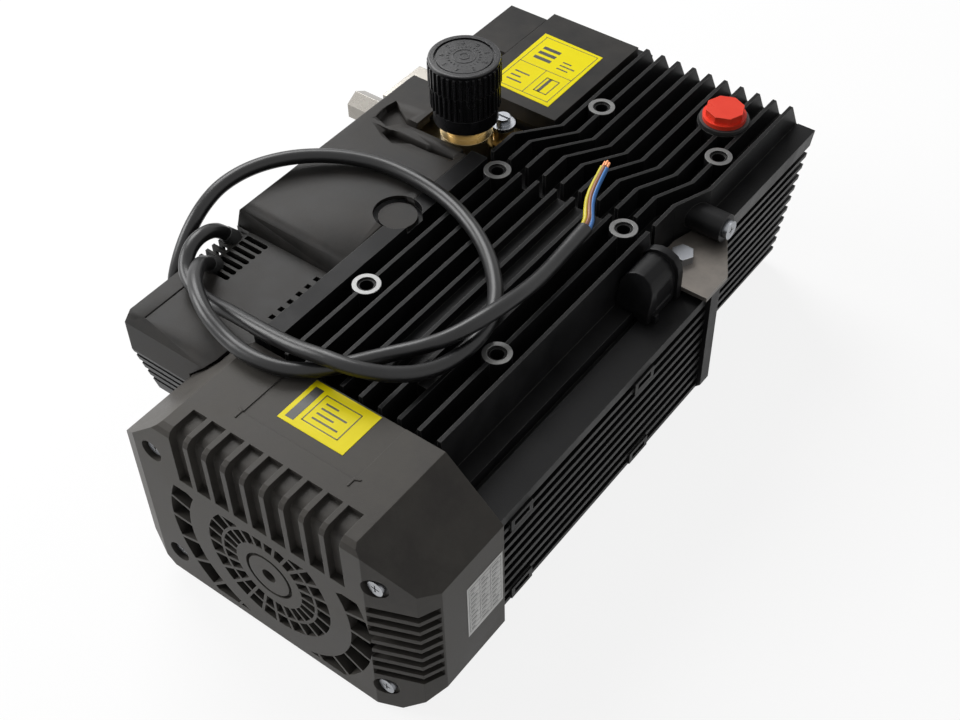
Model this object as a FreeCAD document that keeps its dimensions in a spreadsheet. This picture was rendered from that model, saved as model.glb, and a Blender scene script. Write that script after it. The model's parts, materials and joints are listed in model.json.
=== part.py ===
# Motor pump unit of a high-pressure cleaner: a fan-cooled electric motor, a finned crankcase
# with three plungers, a brass pump head with its pressure regulator, covers and mains lead.
# Millimetres. X runs across the unit, Y from the fan end to the crankcase end, Z up from the base.
# The origin lies on the base, under the middle of the four motor mounting bosses.

import FreeCAD, Part
import math
import os
import re
import Sketcher
from FreeCAD import Placement, Rotation, Vector

os.makedirs("parts", exist_ok=True)
doc = FreeCAD.newDocument("HighPressurePump")

# Driving sizes, one cell each
SIZES = {
    # Mounting bosses on the top face
    "boss_span_x": 96, "boss_span_y": 130, "far_boss_span": 90, "far_boss_offset": 93.5,
    "far_boss_centre": 14.5, "boss_radius": 9, "boss_bore": 4.25, "boss_bore_depth": 22,
    "boss_rim": 1.0, "boss_mouth": 5.6,
    # Motor housing
    "boss_to_cowl": 74, "motor_length": 213.5, "fin_top": 150, "axis_height": 68,
    "fin_thick": 2.6, "near_fin_depth": 20, "fin_setback": 3.4, "raised_floor": 13,
    "left_wall_out": 73, "housing_left": 76, "left_step": 131, "channel_floor": 121,
    "channel_wide": 12.5, "ledge_drop": 9, "ledge_gap": 4.5, "shelf_height": 117,
    "side_half_width": 105, "side_foot": 35, "base_half_width": 68, "side_fin_depth": 13,
    "side_fin_gap": 5.4, "side_fin_thick": 3.0, "wall_draft": 2,
    "stator_radius": 54, "stator_length": 110, "stator_back": 15, "rotor_radius": 30.6,
    "air_gap": 0.4, "end_turn_length": 22, "end_turn_outer": 50, "end_turn_inner": 34,
    "motor_end_wall": 12, "lug_length": 20, "lug_high": 9, "lug_stand": 1.2, "lug_slot": 4,
    "lug_low": 36, "lug_high_level": 100, "lug_near": 18, "lug_far": 142,
    # Crankcase
    "case_length": 168.5, "far_fin_pitch": 12.5, "far_fin_centre": 15.5, "far_fin_depth": 16,
    "jog_start": 26.5, "jog_end": 52.5, "fin_tip_run": 11, "fin_tip_drop": 21, "case_right": 87,
    "case_right_low": 71, "case_shelf": 130, "case_left": 80, "case_left_top": 138,
    "case_left_start": 55, "flange_thick": 10, "flange_half_width": 108, "bracket_seat": 121,
    "case_fin_gap": 6.4, "case_fin_pitch": 10.4, "case_fin_depth": 8,
    "chamber_left": 52, "chamber_right": 46, "chamber_low": 22, "chamber_high": 118,
    "case_front_wall": 12, "rear_cover_thick": 6, "rear_cover_half_width": 62,
    "rear_cover_low": 14, "rear_cover_high": 126,
    # Shaft, bearings and crank
    "shaft_radius": 12.5, "fan_shaft_radius": 10, "bearing_outer": 26, "bearing_wide": 15,
    "front_bearing_outer": 23.5, "front_bearing_wide": 14, "throw": 6, "eccentric_radius": 17,
    "eccentric_wide": 20, "crank_pitch": 40, "crank_radius": 10.5, "shaft_seal_wide": 8, "first_crank": 52, "rod_wide": 14,
    "big_end_wall": 5.5, "big_end_play": 0.5, "rod_neck": 16, "crosshead_radius": 13,
    "crosshead_near": 50, "crosshead_long": 22, "plunger_radius": 8, "plunger_long": 56,
    "seal_outer": 12, "seal_wide": 9, "head_screw_radius": 4,
    "head_screw_deep": 16, "head_screw_low": 62, "head_screw_high": 80, "head_screw_head": 6.5,
    # Brass pump head and regulator
    "head_left": 150, "head_low": 40, "head_high": 105, "head_margin": 20, "valve_x": 100,
    "valve_plug_high": 12, "valve_plug_flat": 11, "valve_bore": 7, "valve_stem": 9, "valve_cage": 9,
    "outlet_gallery_x": 104, "outlet_gallery_z": 90, "inlet_gallery_x": 118, "gallery_radius": 4,
    "tower_x": 92, "tower_y": 90, "tower_radius": 17.5, "tower_top": 147, "valve_body_half": 18,
    "tower_block_high": 134,
    "piston_radius": 6, "piston_travel": 3, "spindle_travel": 6, "spring_pitch": 6.5,
    "valve_body_low": 48, "spring_radius": 9, "spring_wire": 2, "spring_long": 40,
    "spring_seat": 74, "piston_long": 20, "spindle_radius": 5, "slot_screw_radius": 5, "slot_screw_x": 79,
    "slot_screw_y": 113, "slot_screw_high": 5, "slot_boss_radius": 7.5, "slot_boss_high": 10,
    "slot_flange_radius": 8.5, "shelf_left": 86.8, "shelf_right": 64, "shelf_front": 103,
    "shelf_top": 131, "branch_radius": 12, "branch_end": 172,
    "branch_height": 118, "branch_y": 97, "outlet_long": 24, "outlet_flat": 9.5,
    "outlet_bore": 5, "branch_bore": 3.5, "riser_bore": 3, "sense_bore": 2, "sense_height": 58,
    "sense_offset": 5, "manifold_left": 186, "manifold_long": 42, "manifold_low": 96, "manifold_y": 114, "bracket_high": 120,
    "inlet_long": 26, "inlet_radius": 10, "inlet_bore": 7,
    # Regulator knob
    "knob_radius": 24, "knob_high": 23, "knob_skirt_high": 13.7, "knob_skirt_radius": 22.6,
    "neck_high": 11, "neck_radius": 13,
    "knob_flutes": 36, "flute_radius": 1.3, "collar_high": 10, "collar_radius": 21.5,
    "knob_dish": 19, "knob_dish_deep": 2.4, "knob_bore_deep": 30,
    # Filler plug
    "cap_x": 43, "cap_y": 193, "cap_radius": 13, "cap_high": 5, "cap_flange_radius": 14.5,
    "cap_flange_high": 3, "washer_radius": 16.5, "washer_high": 2.5, "cap_stem_radius": 9,
    "cap_stem_long": 14, "cap_seat_radius": 17.5,
    # Fan cowl
    "cowl_length": 81, "cowl_top_half": 69, "cowl_half_width": 107, "cowl_shoulder": 115.4,
    "cowl_foot": 23.5, "cowl_low": 4, "cowl_low_half": 88, "cowl_front_half": 76,
    "cowl_corner": 13, "cowl_top_round": 12, "cowl_wall": 3, "well_pitch": 15.7,
    "well_wide": 11.7, "well_long": 23, "well_deep": 6, "well_ledge": 117, "louvre_first": 37,
    "louvre_pitch": 7.6, "louvre_gap": 4.4, "louvre_long": 25, "grille_outer": 74,
    "grille_band_outer": 60, "grille_band_inner": 45, "grille_mid": 33, "grille_inner": 21,
    "grille_half_high": 46, "spoke_wide": 2.4, "hub_radius": 18, "hub_deep": 7,
    "cowl_screw_x": 80, "cowl_screw_high": 121, "cowl_screw_low": 26, "pocket_radius": 7.5,
    "pocket_deep": 9, "screw_head_radius": 5.2, "screw_head_high": 3.4, "screw_radius": 2.5,
    "cowl_boss_radius": 6.5, "cowl_front_wall": 10, "cowl_screw_long": 18,
    # Fan
    "fan_radius": 57, "fan_disc_thick": 2.5, "fan_blade_high": 24, "fan_blade_thick": 2.4,
    "fan_hub_radius": 17, "fan_back": 20,
    # Electrics box and covers on the left side
    "box_left": 160, "box_top": 135, "box_low": 60, "box_cover_high": 29,
    "box_wall": 3, "box_edge": 6, "cover_start": 79, "cover_length": 173.5, "cover_low": 105.5,
    "cover_round": 12, "cover_wall": 2.6, "notch_front": 125, "notch_left": 119.7,
    "disc_x": 74, "disc_y": -4, "disc_radius": 12.5, "disc_gap": 3, "disc_deep": 3,
    "disc_thick": 2.5, "vent_pitch": 5.6,
    "vent_wide": 3.4, "vent_long": 14, "vent_start": -102, "groove_x": 148,
    "groove_long": 34, "comb_x": 88, "box_comb_start": -126, "comb_pitch": 8, "box_gap": 2,
    "box_slant": 12, "cap_can_x": 101.5, "cap_can_z": 118, "cap_can_radius": 22,
    "cap_can_long": 95, "far_cover_right": 47.5, "far_cover_front": 128,
    "far_cover_long": 102, "far_cover_seam": 119, "side_cover_left": 150.6,
    "side_cover_front": 171, "side_cover_long": 50,
    # Side block, bracket and its fasteners
    "block_x": 81, "block_height": 131, "block_radius": 16, "block_near": 26, "block_long": 34,
    "ring_radius": 20, "ring_wide": 5.5, "bracket_thick": 3, "bracket_right": 109,
    "bracket_length": 55, "bracket_y": 66,
    "bracket_straight": 25, "bolt_flat": 6.5, "bolt_head": 5.3, "bolt_radius": 4,
    "bolt_x": 78, "bolt_y": 88, "bolt_long": 16, "barrel_radius": 9.5, "barrel_y": 118, "barrel_height": 134, "barrel_end": 91,
    # Leads
    "lead_radius": 4.75, "core_radius": 1.5, "wire_radius": 0.7, "bush_radius": 7,
    "bush_high": 4, "gland_radius": 9, "gland_high": 12, "gland_ledge": 8, "gland_x": 171,
    "gland_y": -110, "gland_drop": 14, "link_bush_x": 151, "link_bush_y": -72,
    "mains_bush_x": 143, "mains_bush_y": -98, "wire_long": 8,
    # Clearances
    "seat": 0.3, "slip": 0.05, "running": 0.02,
}

# Places worked out from the sizes
PLACES = {
    "motor_front": "-(boss_span_y / 2 + boss_to_cowl)",
    "cowl_front": "(motor_front - cowl_length)",
    "motor_back": "(motor_front + motor_length)",
    "case_back": "(motor_back + case_length)",
    "near_fin_pitch": "(boss_span_x / 7)",
    "near_fin_edge": "(near_fin_pitch * 4.5 + fin_thick / 2)",
    "far_fin_left": "(far_fin_centre - far_fin_pitch * 4.5 - fin_thick / 2)",
    "far_fin_right": "(far_fin_centre + far_fin_pitch * 4.5 + fin_thick / 2)",
    "near_floor": "(fin_top - near_fin_depth)",
    "far_floor": "(fin_top - far_fin_depth)",
    "jog_front": "(motor_back + jog_start)",
    "jog_back": "(motor_back + jog_end)",
    "far_boss_y": "(boss_span_y / 2 + far_boss_offset)",
    "box_front_y": "(cowl_front + cowl_length * 3 / 4)",
    "head_front": "(motor_back + first_crank - head_margin)",
    "head_back": "(motor_back + first_crank + crank_pitch * 2 + head_margin)",
    "cover_front": "(motor_front + cover_start)",
    "cover_back": "(cover_front + cover_length)",
    "side_fin_pitch": "(side_fin_gap + side_fin_thick)",
    "knob_base": "(tower_top + neck_high + collar_high + seat)",
    "notch_y": "(cover_front + notch_front)",
    "stator_rear": "(motor_back - motor_end_wall - stator_back - end_turn_length)",
    "stator_front": "(stator_rear - stator_length)",
    "fan_face": "(motor_front - fan_back)",
    "box_split": "(box_top - box_cover_high)",
    "gland_seat": "(box_split - gland_drop)",
    "head_middle": "((head_front + head_back) / 2)",
}

sheet = doc.addObject("Spreadsheet::Sheet", "Dim")
for row, (word, size) in enumerate(SIZES.items(), start=1):
    sheet.set(f"A{row}", word)
    sheet.set(f"B{row}", str(size))
    sheet.setAlias(f"B{row}", word)
doc.recompute()

NODES = {}


def bound(text):
    """Spell a size expression out in cells of the sheet."""
    def spell(match):
        word = match.group()
        if word in PLACES:
            return bound(PLACES[word])
        return "Dim." + word if word in SIZES else word
    return re.sub(r"[a-z_]{3,}", spell, str(text))


def size(text):
    """The number that a size expression stands for."""
    return float(sheet.evalExpression(bound(text)))


def place(thing, x="0", y="0", z="0", turn=None):
    """Put an object at a place that follows the sheet."""
    if turn:
        thing.Placement = Placement(Vector(), turn)
    for axis, text in zip("xyz", (x, y, z)):
        thing.setExpression("Placement.Base." + axis, bound(text))
    return thing


# How a cylinder or cone is turned to lie along an axis
ALONG = {
    "Z": Rotation(),
    "X": Rotation(Vector(0, 1, 0), 90),
    "Y": Rotation(Vector(1, 0, 0), -90),
    "-Z": Rotation(Vector(1, 0, 0), 180),
    "-X": Rotation(Vector(0, 1, 0), -90),
}


def block(x, y, z, length, width, height):
    """A box from its low corner and its three sides."""
    thing = doc.addObject("Part::Box", "Block")
    thing.setExpression("Length", bound(length))
    thing.setExpression("Width", bound(width))
    thing.setExpression("Height", bound(height))
    return place(thing, x, y, z)


def rod(x, y, z, radius, length, along="Z"):
    """A cylinder from the centre of its first end."""
    thing = doc.addObject("Part::Cylinder", "Rod")
    thing.setExpression("Radius", bound(radius))
    thing.setExpression("Height", bound(length))
    return place(thing, x, y, z, ALONG[along])


def cone(x, y, z, radius, end_radius, length, along="Z"):
    """A cone from the centre of its first end."""
    thing = doc.addObject("Part::Cone", "Cone")
    thing.setExpression("Radius1", bound(radius))
    thing.setExpression("Radius2", bound(end_radius))
    thing.setExpression("Height", bound(length))
    return place(thing, x, y, z, ALONG[along])


def hexagon(x, y, z, flat, length, along="Z"):
    """A hexagonal bar; flat is half the distance across its flats."""
    thing = doc.addObject("Part::Prism", "Hexagon")
    thing.Polygon = 6
    thing.setExpression("Circumradius", bound(f"({flat}) / cos(30)"))
    thing.setExpression("Height", bound(length))
    return place(thing, x, y, z, ALONG[along])


def fuse(*things):
    """Join solids into one."""
    joined = doc.addObject("Part::MultiFuse", "Joined")
    joined.Shapes = list(things)
    joined.Refine = True
    return joined


def group(*things):
    """Keep separate solids together in one node."""
    together = doc.addObject("Part::Compound", "Group")
    together.Links = list(things)
    return together


def cut(base, *tools):
    """Take the tools out of a solid."""
    result = doc.addObject("Part::Cut", "Cut")
    result.Base = base
    result.Tool = tools[0] if len(tools) == 1 else group(*tools)
    result.Refine = True
    return result


def common(*things):
    """Keep what all the solids share."""
    result = doc.addObject("Part::MultiCommon", "Common")
    result.Shapes = list(things)
    result.Refine = True
    return result


def node(label, thing):
    """Name a finished sub-part; its label is its file's name."""
    thing.Label = label
    NODES[label] = thing
    return thing


# For each origin plane: its role, and the sign that moves a sketch up the row's axis
PLANES = {"XY": ("XY_Plane", "", 1), "XZ": ("XZ_Plane", "-", -1), "YZ": ("YZ_Plane", "", 1)}


def sketch(body, plane, offset, outlines, circles=()):
    """Closed outlines and circles on an origin plane, every corner held by bound distances."""
    role, sign, _ = PLANES[plane]
    drawing = body.newObject("Sketcher::SketchObject", "Outline")
    support = [item for item in body.Origin.OriginFeatures if item.Role == role][0]
    drawing.AttachmentSupport = [(support, "")]
    drawing.MapMode = "FlatFace"
    drawing.setExpression("AttachmentOffset.Base.z", bound(f"{sign}({offset})"))
    shapes = []
    rules = []
    texts = []

    def hold(geometry, point, pair, spot):
        """Fix a point by its two distances from the origin."""
        for kind, text, value in zip(("DistanceX", "DistanceY"), pair, spot):
            texts.append((len(rules), text))
            rules.append(Sketcher.Constraint(kind, -1, 1, geometry, point, value))

    for corners in outlines:
        spots = [(size(across), size(up)) for across, up in corners]
        first = len(shapes)
        last = len(spots)
        for index in range(last):
            following = (index + 1) % last
            shapes.append(Part.LineSegment(Vector(*spots[index], 0), Vector(*spots[following], 0)))
            rules.append(Sketcher.Constraint("Coincident", first + index, 2, first + following, 1))
            hold(first + index, 1, corners[index], spots[index])
    for across, up, radius in circles:
        spot = (size(across), size(up))
        index = len(shapes)
        shapes.append(Part.Circle(Vector(*spot, 0), Vector(0, 0, 1), size(radius)))
        texts.append((len(rules), radius))
        rules.append(Sketcher.Constraint("Radius", index, size(radius)))
        hold(index, 3, (across, up), spot)
    drawing.addGeometry(shapes)
    drawing.addConstraint(rules)
    for number, text in texts:
        drawing.setExpression(f"Constraints[{number}]", bound(text))
    return drawing


def pad(body, plane, offset, length, outlines, circles=()):
    """Raise outlines from a plane, up the row's axis."""
    feature = body.newObject("PartDesign::Pad", "Pad")
    feature.Profile = sketch(body, plane, offset, outlines, circles)
    feature.setExpression("Length", bound(length))
    feature.Reversed = PLANES[plane][2] < 0
    feature.Refine = False
    return feature


def pocket(body, plane, offset, length, outlines, circles=()):
    """Cut outlines into a body, down the row's axis from a plane."""
    feature = body.newObject("PartDesign::Pocket", "Pocket")
    feature.Profile = sketch(body, plane, offset, outlines, circles)
    feature.setExpression("Length", bound(length))
    feature.Reversed = PLANES[plane][2] < 0
    feature.Refine = False
    return feature


def prism(plane, offset, length, outlines, circles=()):
    """A body made of one pad."""
    body = doc.addObject("PartDesign::Body", "Body")
    pad(body, plane, offset, length, outlines, circles)
    return body


def rectangle(left, low, right, high):
    """The four corners of an upright rectangle."""
    return [(left, low), (right, low), (right, high), (left, high)]


# Places of the four screws that hold the pump head
HEAD_SCREWS = [(f"motor_back + first_crank + {index + 0.5} * crank_pitch", level)
               for index in range(2) for level in ("head_screw_low", "head_screw_high")]


# Motor housing: one casting with the top fins, the side shelf, side fins and the stator bore
def motor_housing():
    body = doc.addObject("PartDesign::Body", "MotorHousing")
    ridge = "near_fin_edge + wall_draft + channel_wide"
    section = [
        ("-left_wall_out", "fin_top"), ("near_fin_edge", "fin_top"),
        ("near_fin_edge + wall_draft", "channel_floor"), (ridge, "channel_floor"),
        (ridge, "channel_floor - ledge_drop"), (f"{ridge} + ledge_gap", "channel_floor - ledge_drop"),
        (f"{ridge} + ledge_gap", "shelf_height"), ("side_half_width", "shelf_height"),
        ("side_half_width", "side_foot"), ("base_half_width", "0"), ("-60", "0"),
        ("-housing_left", "16"), ("-housing_left", "left_step - 3"), ("-left_wall_out", "left_step"),
    ]
    pad(body, "XZ", "motor_front", "motor_length", [section])
    # The channels between the ten fins, two of them with a raised floor
    for index in range(9):
        left = f"(near_fin_pitch * ({index} - 4.5) + fin_thick / 2)"
        right = f"(near_fin_pitch * ({index} - 3.5) - fin_thick / 2)"
        depth = "near_fin_depth - raised_floor" if index in (4, 5, 6) else "near_fin_depth"
        pocket(body, "XY", "fin_top", depth,
               [rectangle(left, "motor_front - 1", right, "motor_back + 1")])
        if index in (4, 5, 6):
            pocket(body, "XY", "fin_top", "near_fin_depth",
                   [rectangle(left, "motor_front - 1", right, "motor_front + 34")])
    # The fins stand back from both end faces
    ends = [rectangle("-left_wall_out - 1", "motor_front - 1", "near_fin_edge + 3",
                      "motor_front + fin_setback"),
            rectangle("-left_wall_out - 1", "motor_back - fin_setback", "near_fin_edge + 3",
                      "motor_back + 1")]
    pocket(body, "XY", "fin_top", "near_fin_depth", ends)
    # Side fins
    grooves = []
    for index in range(9):
        low = f"side_foot + side_fin_thick + {index} * side_fin_pitch"
        grooves.append(rectangle("side_half_width - side_fin_depth", low,
                                 "side_half_width + 1", f"{low} + side_fin_gap"))
    pocket(body, "XZ", "motor_front + motor_length + 1", "motor_length + 2", grooves)
    # Stator bore, then the shaft hole in the end wall
    pocket(body, "XZ", "motor_back - motor_end_wall", "motor_length", [],
           [("0", "axis_height", "stator_radius")])
    pocket(body, "XZ", "motor_back + 1", "motor_end_wall + 2", [],
           [("0", "axis_height", "shaft_radius + 4")])
    bosses = [(f"{side} * boss_span_x / 2", f"{end} * boss_span_y / 2")
              for side in (-1, 1) for end in (-1, 1)]
    pad(body, "XY", "near_floor - 2", "near_fin_depth + 2", [],
        [(x, y, "boss_radius") for x, y in bosses])
    pocket(body, "XY", "fin_top", "boss_bore_depth", [], [(x, y, "boss_bore") for x, y in bosses])
    pocket(body, "XY", "fin_top", "boss_rim", [], [(x, y, "boss_mouth") for x, y in bosses])
    # Recess of the disc, shared with the left cover
    pocket(body, "XY", "fin_top + 1", "disc_deep + disc_thick + 1", [],
           [("-disc_x", "disc_y", "disc_radius + disc_gap")])
    # Four slotted lugs on the side fins
    for y in ("motor_front + lug_near", "motor_front + lug_far"):
        for z in ("lug_low", "lug_high_level"):
            outer = rectangle(f"{y} - lug_length / 2", z, f"{y} + lug_length / 2", f"{z} + lug_high")
            pad(body, "YZ", "side_half_width - side_fin_depth", "side_fin_depth + lug_stand", [outer])
            slot = rectangle(f"{y} - lug_length / 2 + 3", f"{z} + (lug_high - lug_slot) / 2",
                             f"{y} + lug_length / 2 - 3", f"{z} + (lug_high + lug_slot) / 2")
            pocket(body, "YZ", "side_half_width + lug_stand", "6", [slot])
    node("motor_housing", body)


# Crankcase: the fins jog sideways to meet those of the motor
def crankcase():
    body = doc.addObject("PartDesign::Body", "Crankcase")
    section = [
        ("-case_left", "case_left_top"), ("far_fin_left", "case_left_top"),
        ("far_fin_left", "fin_top"), ("far_fin_right", "fin_top"), ("far_fin_right", "case_shelf"),
        ("case_right", "case_shelf"), ("case_right_low", "13"), ("58", "0"), ("-52", "0"),
        ("-case_left", "24"),
    ]
    pad(body, "XZ", "motor_back", "case_length", [section])
    flange = [
        ("-housing_left", "bracket_seat"), ("flange_half_width", "bracket_seat"),
        ("flange_half_width", "side_foot + 3"), ("base_half_width + 4", "0"), ("-60", "0"),
        ("-housing_left", "16"),
    ]
    pad(body, "XZ", "motor_back", "flange_thick", [flange])
    corner = [
        ("-near_fin_edge", "motor_back"), ("-near_fin_edge", "jog_front"),
        ("far_fin_left", "jog_back"), ("far_fin_left + 5", "jog_back"),
        ("far_fin_left + 5", "motor_back"),
    ]
    pad(body, "XY", "100", "fin_top - 100", [corner])
    # Clear the space of the brass block on the left, ahead of the far cover
    open_left = [
        ("-case_left - 1", "motor_back + flange_thick"), ("-near_fin_edge", "motor_back + flange_thick"),
        ("-near_fin_edge", "jog_front"), ("far_fin_left", "jog_back"),
        ("far_fin_left", "motor_back + case_left_start"),
        ("-case_left - 1", "motor_back + case_left_start"),
    ]
    pocket(body, "XY", "fin_top", "fin_top - head_high", [open_left])
    tower_side = rectangle("-case_left - 1", "motor_back - 1", "-near_fin_edge",
                           "motor_back + flange_thick + 1")
    pocket(body, "XY", "fin_top", "fin_top - left_step", [tower_side])
    # Clear the bracket's seat on the right
    open_right = [
        ("near_fin_edge", "motor_back - 1"), ("near_fin_edge", "jog_front"),
        ("far_fin_right - 3", "jog_back - 7"), ("far_fin_right", "jog_back"),
        ("flange_half_width + 5", "jog_back"), ("flange_half_width + 5", "motor_back - 1"),
    ]
    pocket(body, "XY", "fin_top", "fin_top - bracket_seat", [open_right])
    # Nine jogged channels
    channels = []
    for index in range(9):
        left = f"(near_fin_pitch * ({index} - 4.5) + fin_thick / 2)"
        right = f"(near_fin_pitch * ({index} - 3.5) - fin_thick / 2)"
        far_left = f"(far_fin_centre + far_fin_pitch * ({index} - 4.5) + fin_thick / 2)"
        far_right = f"(far_fin_centre + far_fin_pitch * ({index} - 3.5) - fin_thick / 2)"
        channels.append([
            (left, "motor_back - 1"), (right, "motor_back - 1"), (right, "jog_front"),
            (far_right, "jog_back"), (far_right, "case_back + 1"), (far_left, "case_back + 1"),
            (far_left, "jog_back"), (left, "jog_front"),
        ])
    pocket(body, "XY", "fin_top", "far_fin_depth", channels)
    face = [rectangle("-near_fin_edge - 1", "motor_back - 1", "near_fin_edge + 1",
                      "motor_back + fin_setback")]
    pocket(body, "XY", "fin_top", "far_fin_depth", face)
    # The fins end in points over the rear face
    tip = [("case_back - fin_tip_run", "fin_top + 0.01"), ("case_back + 1", "fin_top + 0.01"),
           ("case_back + 1", "fin_top - fin_tip_drop - 1.9"),
           ("case_back", "fin_top - fin_tip_drop")]
    pocket(body, "YZ", "far_fin_right + 1", "far_fin_right - far_fin_left + 2", [tip])
    # Side fins
    grooves = []
    for index in range(10):
        low = f"16 + {index} * case_fin_pitch"
        inner = f"(case_right_low + (case_right - case_right_low) * {index} / 10 - case_fin_depth)"
        grooves.append(rectangle(inner, low, "case_right + 1", f"{low} + case_fin_gap"))
    pocket(body, "XZ", "case_back + 1", "case_length - flange_thick + 1", grooves)
    # Crank chamber, open to the rear, with the bearing seat in the front wall
    pocket(body, "XZ", "case_back + 1", "case_length - case_front_wall + 1",
           [rectangle("-chamber_left", "chamber_low", "chamber_right", "chamber_high")])
    pocket(body, "XZ", "case_back + 1", "rear_cover_thick + 1",
           [rectangle("-rear_cover_half_width", "rear_cover_low", "rear_cover_half_width",
                      "rear_cover_high")])
    pocket(body, "XZ", "motor_back + case_front_wall + 1", "case_front_wall + 2", [],
           [("0", "axis_height", "bearing_outer")])
    # Crosshead guides and the threads of the head screws
    guides = [(f"motor_back + first_crank + {index} * crank_pitch", "axis_height",
               "crosshead_radius + slip") for index in range(3)]
    pocket(body, "YZ", "0", "case_left + 1", [], guides)
    pocket(body, "YZ", "-case_left + head_screw_deep", "head_screw_deep + 1", [],
           [(y, z, "head_screw_radius + slip") for y, z in HEAD_SCREWS])
    # Bosses and the filler seat
    bosses = [(f"far_boss_centre + {side} * far_boss_span / 2", "far_boss_y") for side in (-1, 1)]
    pad(body, "XY", "far_floor - 2", "far_fin_depth + 2", [],
        [(x, y, "boss_radius") for x, y in bosses] + [("cap_x", "cap_y", "cap_seat_radius")])
    pocket(body, "XY", "fin_top", "boss_bore_depth", [],
           [(x, y, "boss_bore") for x, y in bosses])
    pocket(body, "XY", "fin_top", "boss_rim", [], [(x, y, "boss_mouth") for x, y in bosses])
    pocket(body, "XY", "fin_top", "fin_top - chamber_high + 1", [],
           [("cap_x", "cap_y", "cap_stem_radius + seat")])
    # Barrel on the tall right wall
    pad(body, "YZ", "near_fin_edge + 3", "barrel_end - near_fin_edge - 3", [],
        [("barrel_y", "barrel_height", "barrel_radius")])
    pocket(body, "YZ", "barrel_end + 1", "16", [], [("barrel_y", "barrel_height", "screw_radius")])
    # Bracket bolt hole
    pocket(body, "XY", "bracket_seat + 1", "18", [],
           [("bolt_x", "bolt_y", "bolt_radius + slip")])
    node("crankcase", body)


def rear_cover():
    plate = block("-rear_cover_half_width + seat", "case_back - rear_cover_thick",
                  "rear_cover_low + seat", "2 * (rear_cover_half_width - seat)",
                  "rear_cover_thick", "rear_cover_high - rear_cover_low - 2 * seat")
    hub = rod("0", "case_back - rear_cover_thick - bearing_wide + 2", "axis_height",
              "bearing_outer + 5", "bearing_wide", "Y")
    seat = rod("0", "case_back - rear_cover_thick - bearing_wide + 1", "axis_height",
               "bearing_outer", "bearing_wide + 1", "Y")
    corners = [(x, z) for x in ("-rear_cover_half_width + 5", "rear_cover_half_width - 5")
               for z in ("rear_cover_low + 5", "rear_cover_high - 5")]
    holes = [rod(x, "case_back - rear_cover_thick - 1", z, "screw_radius + slip",
                 "rear_cover_thick + 2", "Y") for x, z in corners]
    node("rear_cover", cut(fuse(plate, hub), seat, *holes))
    screws = []
    for x, z in corners:
        shank = rod(x, "case_back - rear_cover_thick", z, "screw_radius", "rear_cover_thick", "Y")
        head = hexagon(x, "case_back", z, "4", "3", "Y")
        screws.append(fuse(shank, head))
    node("rear_cover_screws", group(*screws))


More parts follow.
